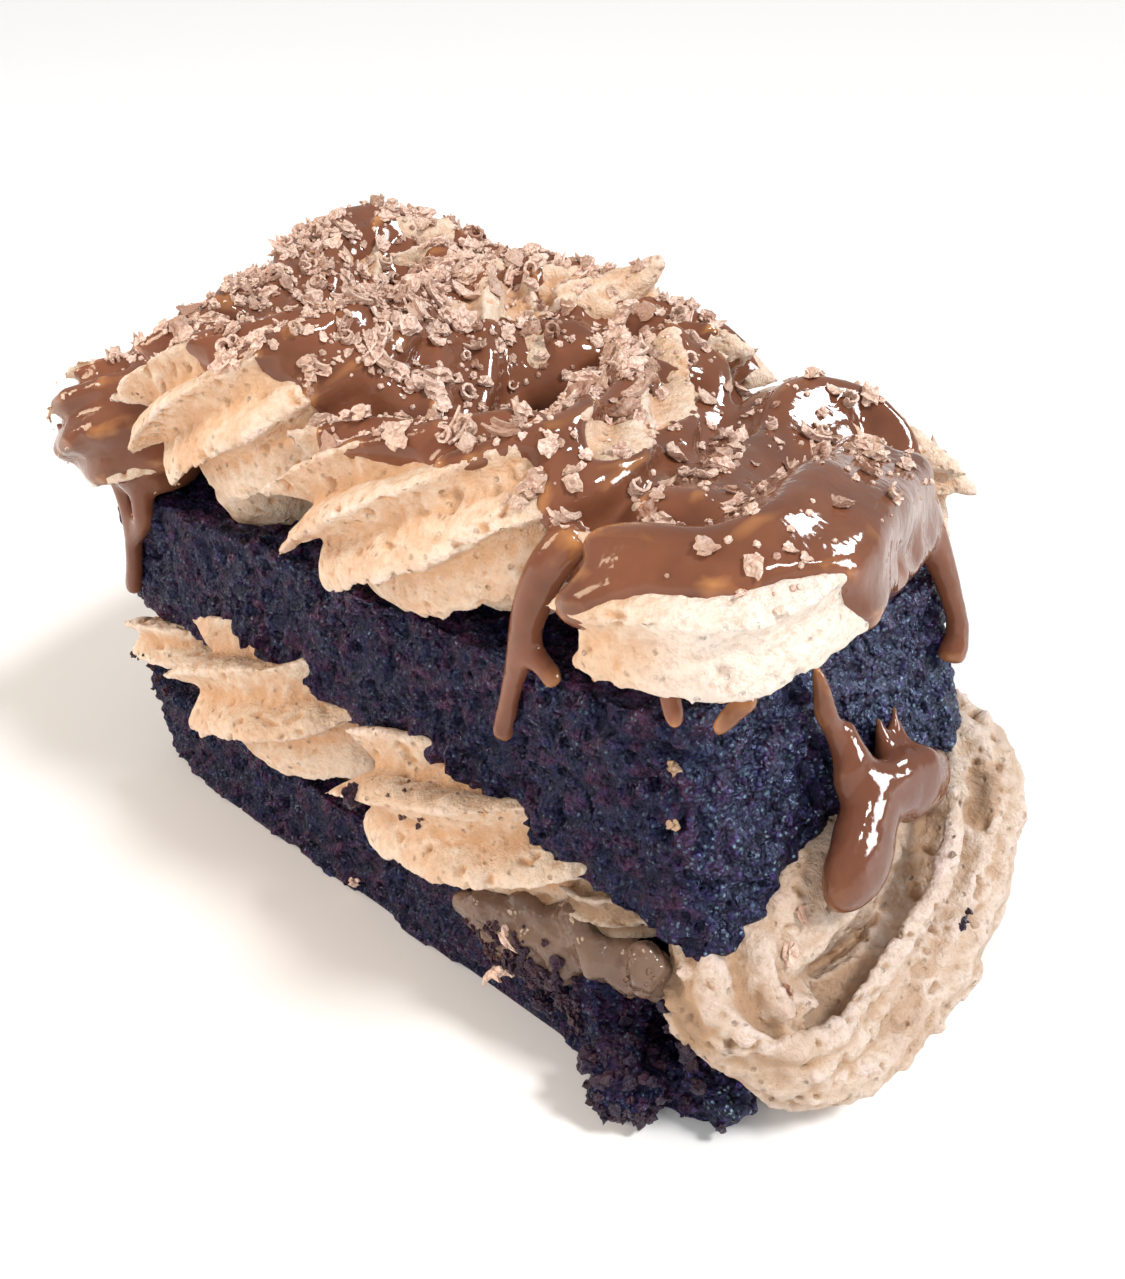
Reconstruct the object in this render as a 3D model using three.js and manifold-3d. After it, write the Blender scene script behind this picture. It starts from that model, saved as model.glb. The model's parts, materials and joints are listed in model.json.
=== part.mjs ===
// A slab of two-layer chocolate cake: two dark sponges, a custard layer, piped cream strands between
// the sponges and on top, runs of glaze down the sides and chocolate flakes. Millimetres, +Z up.
// The origin is the middle of the lower sponge's underside. +X runs to the end with the broken corner.
import * as THREE from "three";
import { mergeVertices } from "three/addons/utils/BufferGeometryUtils.js";
import Module from "manifold-3d";

const wasm = await Module();
wasm.setup();

// Sizes of the slab
const SLAB_LENGTH = 150;
const SLAB_WIDTH = 66;
const LOWER_TOP = 18.6;
const UPPER_BOTTOM_LEFT = 35;
const UPPER_BOTTOM_RIGHT = 33;
const UPPER_BOTTOM_ARCH = 4;
const UPPER_BOTTOM_BACK_RISE = 8;
const CORNER_SAG = 3.5;
const SAG_FROM = 45;
const UPPER_TOP_LEFT = 61;
const UPPER_TOP_RIGHT = 68;
const CUSTARD_TOP = 21;
const CUSTARD_CELL = 22;
const CUSTARD_INSET = 5;
const INSET_DEPTH = 13;
const CUSTARD_HIDDEN_TO = 12;
const CUSTARD_SHOWN_FROM = 30;
const LOWER_END_FLARE = 5;
const LOWER_END_SET_BACK = 5;
const ROUGH = 0.35;
const UPPER_END_LEAN = 6;
const UPPER_END_FLARE = 1.5;
const SMEAR_ROUGH = 0.2;
const CRAG = 1.1;
const CRAG_STEP = 8.5;
const SPONGE_CELL = 10;
const CORNER_ROUND = 3;
const GAP = 0.3;

// Sizes of the piped cream
const RIDGES = 8;
const FLUTE = 0.4;
const FOLD = 0.16;
const TWIST = 0.44;
const CROWN = 5.5;
const EASE = 1.3;
const TIP = 0.8;
const CREAM_OVERHANG = 9;
const BED_HEIGHT = 14;
const BED_DROP = 3;
const BED_WIDTH = 0.3;

// Sizes of the glazed grooves and of the flakes
const GLAZED_FLUTE = 0.24;
const GLAZED_FROM = 0.12;
const GLAZED_TO = 0.4;
const FLAKES = 36;
const FLAKES_SPARSE = 0.75;
const FLAKE_SIZE = 4.2;
const FLAKE_WIDTH = 0.62;
const FLAKE_THICKNESS = 0.9;
const FLAKE_LIFT = 0.2;
const FLAKE_REACH_X = 84;
const FLAKE_REACH_Y = 40;

const HALF_L = SLAB_LENGTH / 2;
const HALF_W = SLAB_WIDTH / 2;

const lerp = THREE.MathUtils.lerp;
const step = THREE.MathUtils.smoothstep;

// Repeatable noise between -1 and 1, from a hash of the lattice points round the place
function hash(i, j, k) {
  const s = Math.sin(i * 127.1 + j * 311.7 + k * 74.7) * 43758.5453;
  return 2 * (s - Math.floor(s)) - 1;
}
function noise(x, y, z) {
  const i = Math.floor(x);
  const j = Math.floor(y);
  const k = Math.floor(z);
  const u = step(x - i, 0, 1);
  const v = step(y - j, 0, 1);
  const w = step(z - k, 0, 1);
  const edge = (b, c) => lerp(hash(i, j + b, k + c), hash(i + 1, j + b, k + c), u);
  return lerp(lerp(edge(0, 0), edge(1, 0), v), lerp(edge(0, 1), edge(1, 1), v), w);
}

function solid(geometry) {
  const bare = geometry.clone();
  bare.deleteAttribute("normal");
  bare.deleteAttribute("uv");
  const joined = mergeVertices(bare, 1e-4);
  return new wasm.Manifold(
    new wasm.Mesh({
      numProp: 3,
      vertProperties: new Float32Array(joined.attributes.position.array),
      triVerts: new Uint32Array(joined.index.array),
    }),
  );
}
function union(solids) {
  return solids.reduce((sum, next) => sum.add(next));
}
function largest(body) {
  const bodies = body.decompose();
  return bodies.reduce((best, next) => (next.volume() > best.volume() ? next : best));
}
function node(name, body, colour, roughness) {
  const data = body.getMesh();
  const geometry = new THREE.BufferGeometry();
  geometry.setAttribute("position", new THREE.BufferAttribute(data.vertProperties, 3));
  geometry.setIndex(new THREE.BufferAttribute(data.triVerts, 1));
  geometry.computeVertexNormals();
  const material = new THREE.MeshStandardMaterial({ color: colour, roughness, metalness: 0 });
  const mesh = new THREE.Mesh(geometry, material);
  mesh.name = name;
  return mesh;
}

// Bottom and top heights of the upper sponge at a place in plan
function upperBottom(x, y) {
  const along = (x + HALF_L) / SLAB_LENGTH;
  const arch = UPPER_BOTTOM_ARCH * Math.max(0, Math.sin(along * Math.PI));
  const back = UPPER_BOTTOM_BACK_RISE * ((y + HALF_W) / SLAB_WIDTH);
  const sag = CORNER_SAG * step(x, SAG_FROM, HALF_L) * step(-y, -HALF_W / 2, HALF_W);
  return lerp(UPPER_BOTTOM_LEFT, UPPER_BOTTOM_RIGHT, along) + arch + back - sag;
}
function upperTop(x) {
  return lerp(UPPER_TOP_LEFT, UPPER_TOP_RIGHT, (x + HALF_L) / SLAB_LENGTH);
}

// A sponge: a box whose grid points go to the slab's form, with crags on its four sides
function sponge(shape) {
  const { bottom, top, lean, rows, cell = SPONGE_CELL, crags = CRAG } = shape;
  const { grow = 0, out = grow, inset = 0 } = shape;
  const columns = Math.round(SLAB_LENGTH / cell);
  const across = Math.round(SLAB_WIDTH / cell);
  const box = new THREE.BoxGeometry(2, 2, 1, columns, across, rows);
  const place = box.attributes.position;
  for (let n = 0; n < place.count; n += 1) {
    const u = place.getX(n);
    const v = place.getY(n);
    const w = place.getZ(n) + 0.5;
    const inX = 1 - (CORNER_ROUND / HALF_L) * v ** 8;
    const inY = 1 - (CORNER_ROUND / HALF_W) * u ** 8;
    let x = u * HALF_L * inX;
    let y = v * HALF_W * inY;
    const rim = Math.max(Math.abs(u), Math.abs(v)) > 0.999 ? 1 : 0;
    const z = lerp(bottom(x, y) - grow, top(x, y) + grow, w);
    const crag = rim * crags * noise(x / CRAG_STEP, y / CRAG_STEP, z / CRAG_STEP + 9);
    x += lean(Math.sign(u), w) * Math.abs(u) ** 6;
    x += Math.abs(u) > 0.999 ? Math.sign(u) * (crag + out) : 0;
    y += Math.abs(v) > 0.999 ? Math.sign(v) * (crag + out) : 0;
    const hidden = 1 - step(x, CUSTARD_HIDDEN_TO, CUSTARD_SHOWN_FROM);
    y += inset * hidden * step(-y, HALF_W - INSET_DEPTH, HALF_W);
    place.setXYZ(n, x, y, z);
  }
  return solid(box);
}

// A piped strand: a star section carried along a way of [x, y, z, radius] stations.
// The groove points of the first rings are set back, so the ridges end in free tips.
function rope(way, options) {
  const section = { ridges: RIDGES, roll: 0, tall: 1, flute: FLUTE, fine: 2 };
  const o = { ...section, rings: 10, ease: 1, crown: 0, grow: 0, ...options };
  const { twist = TWIST * o.ridges, glazed = o.flute } = o;
  const sides = o.ridges * o.fine;
  const centre = new THREE.CatmullRomCurve3(way.map(([x, y, z]) => new THREE.Vector3(x, y, z)));
  const size = new THREE.CatmullRomCurve3(way.map(([, , , r]) => new THREE.Vector3(r, 0, 0)));
  const spots = [];
  const faces = [];
  const up = new THREE.Vector3(0, 0, 1);
  for (let i = 0; i <= o.rings; i += 1) {
    const t = (i / o.rings) ** o.ease;
    const middle = centre.getPoint(t);
    const ahead = centre.getTangent(t);
    const side = new THREE.Vector3().crossVectors(ahead, up).normalize();
    const over = new THREE.Vector3().crossVectors(side, ahead);
    const radius = Math.max(0.4, size.getPoint(t).x);
    const setBack = o.crown * (Math.max(0, 1 - i / 2) - Math.max(0, 1 - (o.rings - i) / 2));
    for (let j = 0; j < sides; j += 1) {
      const turn = (2 * Math.PI * j) / sides;
      const groove = Math.abs(Math.sin((o.ridges * turn) / 2));
      const flute = lerp(o.flute, glazed, step(t, GLAZED_FROM, GLAZED_TO));
      const reach = radius * (1 - flute * groove) + o.grow;
      const angle = turn - FOLD * (1 - groove) ** 2 + o.roll + twist * t;
      const spot = middle.clone();
      spot.addScaledVector(side, reach * Math.cos(angle));
      spot.addScaledVector(over, reach * o.tall * Math.sin(angle));
      spot.addScaledVector(ahead, setBack * groove);
      spots.push(spot);
    }
  }
  const first = spots.length;
  const lead = centre.getTangent(0).multiplyScalar(o.crown * TIP - o.grow);
  const trail = centre.getTangent(1).multiplyScalar(-o.crown * TIP + o.grow);
  spots.push(centre.getPoint(0).add(lead), centre.getPoint(1).add(trail));
  const ring = (i, j) => i * sides + (j % sides);
  for (let i = 0; i < o.rings; i += 1)
    for (let j = 0; j < sides; j += 1) {
      faces.push(ring(i, j), ring(i + 1, j + 1), ring(i, j + 1));
      faces.push(ring(i, j), ring(i + 1, j), ring(i + 1, j + 1));
    }
  for (let j = 0; j < sides; j += 1) {
    faces.push(first, ring(0, j), ring(0, j + 1));
    faces.push(first + 1, ring(o.rings, j + 1), ring(o.rings, j));
  }
  const geometry = new THREE.BufferGeometry().setFromPoints(spots);
  geometry.setIndex(faces);
  return solid(geometry);
}

// A lump: a ball with a rough skin, for crumbs and blobs
function lump(x, y, z, rx, ry, rz, rough, detail = 2) {
  const ball = new THREE.IcosahedronGeometry(1, detail);
  const place = ball.attributes.position;
  for (let n = 0; n < place.count; n += 1) {
    const a = place.getX(n);
    const b = place.getY(n);
    const c = place.getZ(n);
    const k = 1 + rough * noise(a * 2 + x, b * 2 + y, c * 2 + z);
    place.setXYZ(n, x + rx * a * k, y + ry * b * k, z + rz * c * k);
  }
  return solid(ball);
}

const PLAIN = { flute: 0, fine: 1, twist: 0 };

// The front half of a strand's bend, then its right leg, as rope stations
function hook({ left, right, z, lean, r, backZ = z, rise = 0, hang = CREAM_OVERHANG }) {
  const wide = right - left;
  const front = r - HALF_W - hang;
  return [
    [left + r * 0.3, front, z - rise, r * 0.95],
    [left + wide * 0.3, front - 1, z - rise / 2, r],
    [left + wide * 0.6, front + 1, z + rise / 2, r],
    [right - r * 1.1, front + 8, z + rise, r],
    [right - r - lean * 0.25, front + 21, z + rise / 2, r],
    [right - r - lean * 0.6, 8, lerp(z, backZ, 0.6), r],
    [right - r - lean * 0.9, 22, backZ, r],
  ];
}
function turned(way, { left, right, lean }) {
  const middle = left + right - lean;
  return way.map(([x, y, z, r]) => [middle - x, -y, z, r]);
}
function strand(size, grow = 0) {
  const { tall = 1, ridges = RIDGES, rings = 7, backR = size.r, backRise = size.rise } = size;
  const { roll, glazed, flute = FLUTE, twist = TWIST * ridges } = size;
  const shape = { tall, roll, ridges, flute, twist, glazed, crown: CROWN, rings, ease: EASE, grow };
  const back = { ...size, z: size.backZ, backZ: size.z, r: backR, rise: backRise };
  const behind = rope(turned(hook(back), size), { ...shape, rings: rings - 1 });
  const bodies = [rope(hook(size), shape), behind];
  if (size.bedded) {
    const middle = (size.left + size.right - size.lean) / 2;
    const wide = (size.right - size.left) * BED_WIDTH + grow;
    const deep = Math.min(size.z, size.backZ) - BED_DROP - BED_HEIGHT;
    bodies.push(lump(middle, 0, deep, wide, HALF_W - BED_DROP + grow, BED_HEIGHT + grow, 0, 1));
  }
  for (const way of size.plugs ?? []) bodies.push(rope(way, { ...PLAIN, ridges: 8, rings: 4, grow }));
  return union(bodies);
}

// Cream that stands up between two strands, and a tip at the back
const PLUGS = [
  [[-6, 4, 84, 6], [1, 14, 86, 8], [6, 24, 86, 6]],
  [[-5, 21, 93, 5], [1, 29, 96, 4.2], [6.5, 35, 101, 1.4]],
];

// Strands on top and in the filling, from the left end to the right
// (left and right are its ends along the front, lean is how far it runs to the left towards the back)
// The last one is smoother: a wide band with a shallow groove along its front
const BAND = { roll: 0.3, ridges: 6, twist: 0.6, flute: 0.26, backR: 9, backRise: 5 };
const TOP_STRANDS = [
  { left: -74, right: -50, z: 74, backZ: 75, lean: 12, r: 11, tall: 1.15, roll: 0.1 },
  { left: -50, right: 4, z: 85.5, backZ: 85, lean: 22, r: 13, tall: 1.1, rise: 4, roll: -0.33 },
  { left: -9, right: 52, z: 81, backZ: 83, lean: 22, r: 13, tall: 1.1, rise: 4, roll: -0.33, plugs: PLUGS },
  { left: 52, right: 87, z: 84.5, backZ: 77, lean: 20, r: 10.5, rise: 2, ...BAND },
];
const FILL_STRANDS = [
  { left: -70, right: -42, z: 32, backZ: 36, lean: 8, r: 8, tall: 0.75, roll: 0.5, ridges: 5, hang: 5 },
  { left: -47, right: 5, z: 34, backZ: 38, lean: 8, r: 12, tall: 1.05, rise: 1.5, roll: 0.35, ridges: 6 },
  { left: -1, right: 57, z: 33, backZ: 38, lean: 8, r: 12, rise: 1, roll: 0.1, ridges: 6 },
];

// What is left of the filling beside the broken corner
const REMNANT = [
  [46, -32, 30, 5],
  [53, -34, 31, 6],
  [58, -30, 31, 6],
  [58, -14, 32, 6.5],
  [56, 10, 34, 7],
  [54, 34, 36, 6],
];

// The bend that has slid out at the right end: a skirt with a thin crest on it, a tongue inside
// the bend, and the groove between the crest and the tongue
const END_SKIRT = [
  [64, -25, 28, 7],
  [73, -26, 22, 9],
  [79.5, -18, 13, 9.5],
  [81.5, -5, 9.8, 9.3],
  [80, 11, 11.5, 9.5],
  [77, 25, 19, 9.3],
  [73, 32, 31, 9],
  [62, 33, 37, 7],
];
const END_CREST = [
  [68, -26, 32, 3],
  [75, -29, 30, 3],
  [80, -28, 26, 2.8],
  [83.8, -24.5, 21, 2.7],
  [85, -17, 17.5, 2.7],
  [84.5, -8, 17.5, 2.8],
  [83, 3, 20, 2.8],
  [80.5, 12, 25, 2.8],
  [77, 19.5, 32, 3],
  [71, 26, 38, 3],
];
const END_TONGUE = [
  [62, -27, 32, 4],
  [70, -21, 27.5, 8.5],
  [71, -13, 30, 9.5],
  [71, -4, 33, 9.5],
  [69, 4, 36, 7.5],
  [62, 8, 38, 4],
];
const END_GROOVE = [
  [82, -23, 24, 2.6],
  [82, -16, 20, 3.8],
  [81, -7, 21, 4.3],
  [80, 1, 25, 3.8],
  [77, 8, 32, 3],
];
function endSwirl(grow = 0) {
  const skirt = rope(END_SKIRT, { rings: 10, flute: 0.08, ridges: 7, crown: 2, grow });
  const crest = rope(END_CREST, { ...PLAIN, ridges: 5, rings: 11, grow });
  const tongue = rope(END_TONGUE, { ...PLAIN, ridges: 8, rings: 6, grow });
  const groove = rope(END_GROOVE, { ...PLAIN, ridges: 6, rings: 6, grow: -grow });
  const heart = lump(66, 4, 22, 9 + grow, 27 + grow, 12 + grow, 0, 1);
  const pool = rope(POOL, { ...PLAIN, ridges: 7, rings: 7, grow });
  return union([skirt, crest, tongue, heart]).subtract(groove).add(pool);
}

// Thick runs of glaze on the upper sponge's faces, and the pool they make on the end swirl
const DRIPS = [
  [[-67, -33, 68, 2.4], [-64, -33.5, 57, 2], [-66, -33.5, 47, 2.1], [-69, -33.5, 39, 2.3]],
  [[-57, -33, 66, 2.4], [-59, -33.5, 58, 2.2], [-63, -33.5, 52, 1.4]],
  [[44, -32, 76, 3], [42, -33.5, 71, 2.4], [39, -33.5, 62, 1.6], [36.2, -33.5, 52.5, 1.9]],
  [[41, -33.5, 70, 1.4], [44.5, -33.5, 69, 1.4], [48.2, -33.5, 66, 1.5]],
  [[70, -8, 67, 1.7], [72, -5, 59, 2], [73, -4.5, 54, 2.4], [74, -5, 49, 2.4]],
  [[72.8, 4, 55.5, 0.8], [74, 4.3, 51, 1.6], [75, 4.5, 47, 2.6]],
  [[68, 20, 73, 3], [71.5, 24, 66, 2.2], [73, 25, 59, 2.2], [73, 23, 55, 2.8]],
];
const POOL = [
  [76, 15, 39, 3.2],
  [77.5, 9, 42.8, 3.9],
  [78, 3, 44, 3.8],
  [77.5, -3, 45, 4.4],
  [78.8, -7, 42, 4.2],
  [80.7, -8.5, 37, 4],
  [81.8, -8, 32.5, 3],
];
function drips(grow) {
  return DRIPS.map((way) => rope(way, { ...PLAIN, rings: 3, ridges: 6, grow }));
}

// Sponges, custard and the broken corner
const lowerShape = {
  bottom: () => 0,
  top: () => LOWER_TOP,
  lean: (sign, w) => (sign < 0 ? -LOWER_END_FLARE * w : -LOWER_END_SET_BACK),
  rows: 3,
};
const upperShape = {
  bottom: upperBottom,
  top: upperTop,
  lean: (sign, w) => (sign > 0 ? -UPPER_END_LEAN * w : -UPPER_END_FLARE),
  rows: 4,
};
// Each lump is its middle, then its half sizes along x, y and z
const BREAK = [70, -36, 17, 17, 14, 15];
const RUBBLE = [
  [50, -27, 14, 11, 8.5, 11],
  [61, -34.5, 6, 7.5, 6, 6.5],
  [71, -27, 6, 7, 6.5, 6.8],
  [64, -27, 4, 9, 7, 5],
  [75, 33, 8, 6, 5, 7],
];
const SMEARS = [
  [59, -32.5, 23.5, 5, 3.4, 4],
  [64, -33, 27, 3.6, 3.2, 4],
  [35, -35, 18, 7.5, 3.4, 5.5],
  [43, -35, 21.5, 8, 3.6, 5],
  [52, -33.5, 25, 7, 3.6, 4],
];
function rubble(grow) {
  return RUBBLE.map(([x, y, z, a, b, c]) => lump(x, y, z, a + grow, b + grow, c + grow, ROUGH, 1));
}
function lowerBody(grow) {
  const [x, y, z, rx, ry, rz] = BREAK;
  const cut = lump(x, y, z, rx - grow, ry - grow, rz - grow, ROUGH);
  return union([sponge({ ...lowerShape, grow }).subtract(cut), ...rubble(grow)]);
}
function custardBody(grow) {
  const box = sponge({
    bottom: () => LOWER_TOP + 1.2 * GAP,
    top: () => CUSTARD_TOP,
    lean: lowerShape.lean,
    rows: 1,
    cell: CUSTARD_CELL,
    inset: CUSTARD_INSET,
    grow,
  });
  const blobs = SMEARS.map(([x, y, z, a, b, c]) =>
    lump(x, y, z, a + grow, b + grow, c + grow, SMEAR_ROUGH, 1),
  );
  return union([box, ...blobs]);
}
const floor = solid(new THREE.BoxGeometry(400, 400, 40).translate(0, 0, -20));
const lowerSponge = lowerBody(0).subtract(floor);
const lowerGrown = lowerBody(GAP);
const upperSponge = union([sponge(upperShape), ...drips(0)]);
const dripsGrown = union(drips(GAP));
const smooth = { crags: 0, rows: 1, grow: GAP, out: GAP + CRAG };
const upperCut = sponge({ ...upperShape, ...smooth, grow: 2 * GAP });
const lowerCut = sponge({ ...lowerShape, ...smooth });
const custard = custardBody(0).subtract(lowerGrown).subtract(upperCut).subtract(dripsGrown);
const custardGrown = custardBody(GAP);

const group = new THREE.Group();
const CREAM = 0xd9b48c;
const SPONGE = 0x2a1a1c;
group.add(node("lower_sponge", largest(lowerSponge), SPONGE, 0.95));
group.add(node("upper_sponge", upperSponge, SPONGE, 0.95));
group.add(node("custard_layer", largest(custard), 0xa07a58, 0.4));
let before = null;
const creams = TOP_STRANDS.map((place, n) => {
  const size = { ...place, bedded: true, glazed: GLAZED_FLUTE };
  const whole = strand(size);
  let body = whole.subtract(upperCut).subtract(dripsGrown);
  if (before) body = body.subtract(before);
  before = strand(size, GAP).add(whole);
  return { name: "top_cream_" + (n + 1), body: largest(body) };
});

// Chocolate flakes pressed into the top: short bent plates, the largest first, thinner to the right
function flake(at, normal, size, yaw, curl) {
  const box = new THREE.BoxGeometry(size, size * FLAKE_WIDTH, FLAKE_THICKNESS, 2, 1, 1);
  const place = box.attributes.position;
  for (let n = 0; n < place.count; n += 1)
    place.setZ(n, place.getZ(n) + curl * size * (place.getX(n) / size) ** 2);
  const lie = new THREE.Quaternion().setFromUnitVectors(new THREE.Vector3(0, 0, 1), normal);
  const spin = new THREE.Quaternion().setFromAxisAngle(new THREE.Vector3(0, 0, 1), yaw);
  const rest = at.clone().addScaledVector(normal, FLAKE_LIFT);
  box.applyQuaternion(spin).applyQuaternion(lie).translate(rest.x, rest.y, rest.z);
  return solid(box);
}
const targets = creams.map(({ name, body }) => node(name, body, 0, 1));
const caster = new THREE.Raycaster();
const DOWN = new THREE.Vector3(0, 0, -1);
function under(x, y) {
  caster.set(new THREE.Vector3(x, y, 200), DOWN);
  return caster.intersectObjects(targets)[0];
}
let placed = 0;
for (let n = 0; placed < FLAKES; n += 1) {
  const x = FLAKE_REACH_X * hash(n, 1, 5);
  const y = FLAKE_REACH_Y * hash(n, 2, 5);
  const skipped = FLAKES_SPARSE * step(x, 20, 60);
  const hit = under(x, y);
  if (Math.abs(hash(n, 3, 5)) < skipped || !hit || hit.face.normal.z < 0.6) continue;
  const clear = [[1, 0], [-1, 0], [0, 1], [0, -1]].every(([a, b]) => {
    const near = under(x + a * FLAKE_SIZE, y + b * FLAKE_SIZE);
    return near && near.object === hit.object;
  });
  if (!clear) continue;
  const size = FLAKE_SIZE * (1.25 - (0.6 * placed) / FLAKES);
  const curl = 0.5 * Math.abs(hash(n, 6, 5));
  const owner = creams[targets.indexOf(hit.object)];
  const piece = flake(hit.point, hit.face.normal, size, Math.PI * hash(n, 4, 5), curl);
  if (creams.some((other) => other !== owner && !other.body.intersect(piece).isEmpty())) continue;
  owner.body = owner.body.add(piece);
  placed += 1;
}
for (const { name, body } of creams) group.add(node(name, largest(body), CREAM, 0.7));

before = null;
const fillBed = union([lowerCut, ...rubble(GAP), custardGrown, upperCut, dripsGrown, floor]);
FILL_STRANDS.forEach((place, n) => {
  const size = { ...place, rings: 6 };
  const whole = strand(size);
  let body = whole.subtract(fillBed);
  if (before) body = body.subtract(before);
  before = strand(size, GAP).add(whole);
  group.add(node("filling_cream_" + (n + 1), largest(body), CREAM, 0.7));
});
const remnant = { rings: 6, crown: 2, roll: -0.2, ridges: 6 };
const swirl = endSwirl().subtract(fillBed);
const swirlGrown = endSwirl(GAP).add(swirl);
const scrap = rope(REMNANT, remnant).subtract(fillBed).subtract(before).subtract(swirlGrown);
group.add(node("filling_cream_4", largest(scrap), CREAM, 0.7));
group.add(node("end_cream", largest(swirl), CREAM, 0.7));
export default group;
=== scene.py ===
"""A slab of two-layer chocolate custard cake with piped cream, poured glaze and chocolate flakes."""

import json
import math

import bpy
import numpy as np
from mathutils import Euler, Matrix, Vector
from mathutils.bvhtree import BVHTree

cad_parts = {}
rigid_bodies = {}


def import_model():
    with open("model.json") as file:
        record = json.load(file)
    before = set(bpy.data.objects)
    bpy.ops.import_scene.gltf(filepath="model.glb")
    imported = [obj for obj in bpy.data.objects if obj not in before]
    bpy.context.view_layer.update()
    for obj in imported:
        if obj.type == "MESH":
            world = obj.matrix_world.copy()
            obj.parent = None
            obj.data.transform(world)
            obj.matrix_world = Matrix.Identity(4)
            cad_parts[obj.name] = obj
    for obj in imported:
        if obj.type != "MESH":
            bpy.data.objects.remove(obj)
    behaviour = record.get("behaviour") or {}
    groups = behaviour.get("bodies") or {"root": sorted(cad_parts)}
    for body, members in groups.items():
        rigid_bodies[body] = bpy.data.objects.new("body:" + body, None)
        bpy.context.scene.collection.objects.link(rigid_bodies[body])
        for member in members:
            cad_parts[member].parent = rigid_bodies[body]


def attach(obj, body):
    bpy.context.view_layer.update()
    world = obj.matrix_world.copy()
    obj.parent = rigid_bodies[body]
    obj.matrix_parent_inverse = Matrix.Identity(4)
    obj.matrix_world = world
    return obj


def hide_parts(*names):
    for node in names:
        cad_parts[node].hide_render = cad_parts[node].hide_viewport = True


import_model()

bl_info = {
    "name": "Chocolate custard cake",
    "version": (1, 0, 0),
    "blender": (4, 5, 0),
    "location": "3D View > Sidebar > Cake",
    "description": "Builds a slab of layered chocolate cake with piped cream, glaze and flakes",
    "category": "Object",
}

MM = 0.001
# A turn all the way round, in radians
ROUND = 6.28
# Half the slab's length and width in millimetres, which the forms below are laid out on
HALF_LENGTH, HALF_WIDTH = 75, 33

# Strands on top and in the filling, from the left end to the right, in millimetres:
# where each one's front bend starts and ends, its height in front and behind, how far it runs to
# the left towards the back, its radius, its height over its width, how much its bend climbs, and
# how its ridges are turned, counted, cut and twisted. hang is how far it stands over the edge.
TOP_STRANDS = [
    dict(left=-74, right=-50, z=74, back_z=75, lean=12, r=11, tall=1.15, roll=0.1),
    dict(left=-50, right=4, z=85.5, back_z=85, lean=22, r=13, tall=1.1, rise=4, roll=-0.33),
    dict(left=-9, right=52, z=81, back_z=83, lean=22, r=13, tall=1.1, rise=4, roll=-0.33),
    dict(left=52, right=87, z=84.5, back_z=77, lean=20, r=10.5, tall=1, rise=2, back_r=9, back_rise=5,
         roll=0.3, ridges=6, twist=0.6, flute=0.26),
]
FILL_STRANDS = [
    dict(left=-70, right=-42, z=32, back_z=33, lean=8, r=8, tall=0.75, back_tall=1.2, roll=0.5, hang=5,
         ridges=5),
    dict(left=-47, right=5, z=34, back_z=36.5, lean=8, r=12, tall=1.05, back_tall=1.2, rise=1.5,
         roll=0.35, ridges=6, hang=11),
    dict(left=-1, right=57, z=33, back_z=36.5, lean=8, r=12, tall=1, back_tall=1.2, rise=1, roll=0.1,
         ridges=6, hang=10),
]

# Ways of the shorter ropes: stations of x, y, z and radius
REMNANT = [
    (46, -29.5, 29, 4), (52, -30.5, 30, 5), (57, -27, 31, 5.5), (58, -14, 32, 6.5),
    (56, 10, 34, 7), (54, 34, 36, 6),
]
END_SKIRT = [
    (64, -25, 28, 7), (73, -26, 22, 9), (79.5, -18, 13, 9.5), (81.5, -5, 9.8, 9.3),
    (80, 11, 11.5, 9.5), (77, 25, 19, 9.3), (73, 32, 31, 9), (62, 33, 37, 7),
]
END_CREST = [
    (70.5, -30, 29, 2.6), (75, -31.5, 26, 2.6), (80, -30, 23.5, 2.4), (84, -26.5, 21.5, 2.2),
    (85.5, -20, 20, 2.2), (84.6, -13, 19.5, 2.2), (83.3, -1, 22.5, 2.2), (83, 6.5, 25, 2.2),
    (81, 15.5, 31, 2.1), (77.5, 20.5, 36.5, 2),
]
END_FOLD = [(73, -21, 34, 2), (77.2, -25, 30.5, 1.8), (80.5, -26.5, 28, 1.7), (83, -26, 25, 1.5)]
END_TONGUE = [
    (62, -27, 32, 4), (70, -21, 27.5, 8.5), (71, -13, 30, 9.5), (71, -4, 33, 9.5),
    (69, 4, 36, 7.5), (62, 8, 38, 4),
]
# The deep groove between the crest and the tongue
END_GROOVE = [
    (80.6, -27.2, 21.9, 2), (82.1, -20.7, 20.4, 2.8), (81.2, -13.7, 19.9, 3.2),
    (79.9, -1.7, 22.9, 3.4), (79.6, 5.8, 25.4, 3.3), (77.6, 14.8, 31.4, 2.8),
    (74.1, 19.8, 36.9, 2),
]
# Dents pressed into the end swirl: stations of x, y, z and radius, and depth
DENT_WAY = (-0.8, 0.15, -0.58)
END_DENTS = [
    ([(88, -20, 14, 2.6), (89, -10, 14, 3), (88, 0, 17, 3), (86.5, 10, 22, 3), (83.5, 20, 29, 2.6)],
     2.4),
    ([(74, -27, 33, 2), (77, -29, 30, 2.2), (80, -29.5, 27.5, 2.2), (83, -28, 24.5, 1.6)], 2.6),
    ([(81, 23, 30, 2.2), (79, 26, 34, 2.4)], 2.5),
    ([(76, 27, 39, 2), (74, 29, 42, 2)], 2),
    ([(71.5, -32.5, 29, 1.5), (73.5, -34, 26, 1.7), (76, -35, 22, 1.6)], 1.8),
]
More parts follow.
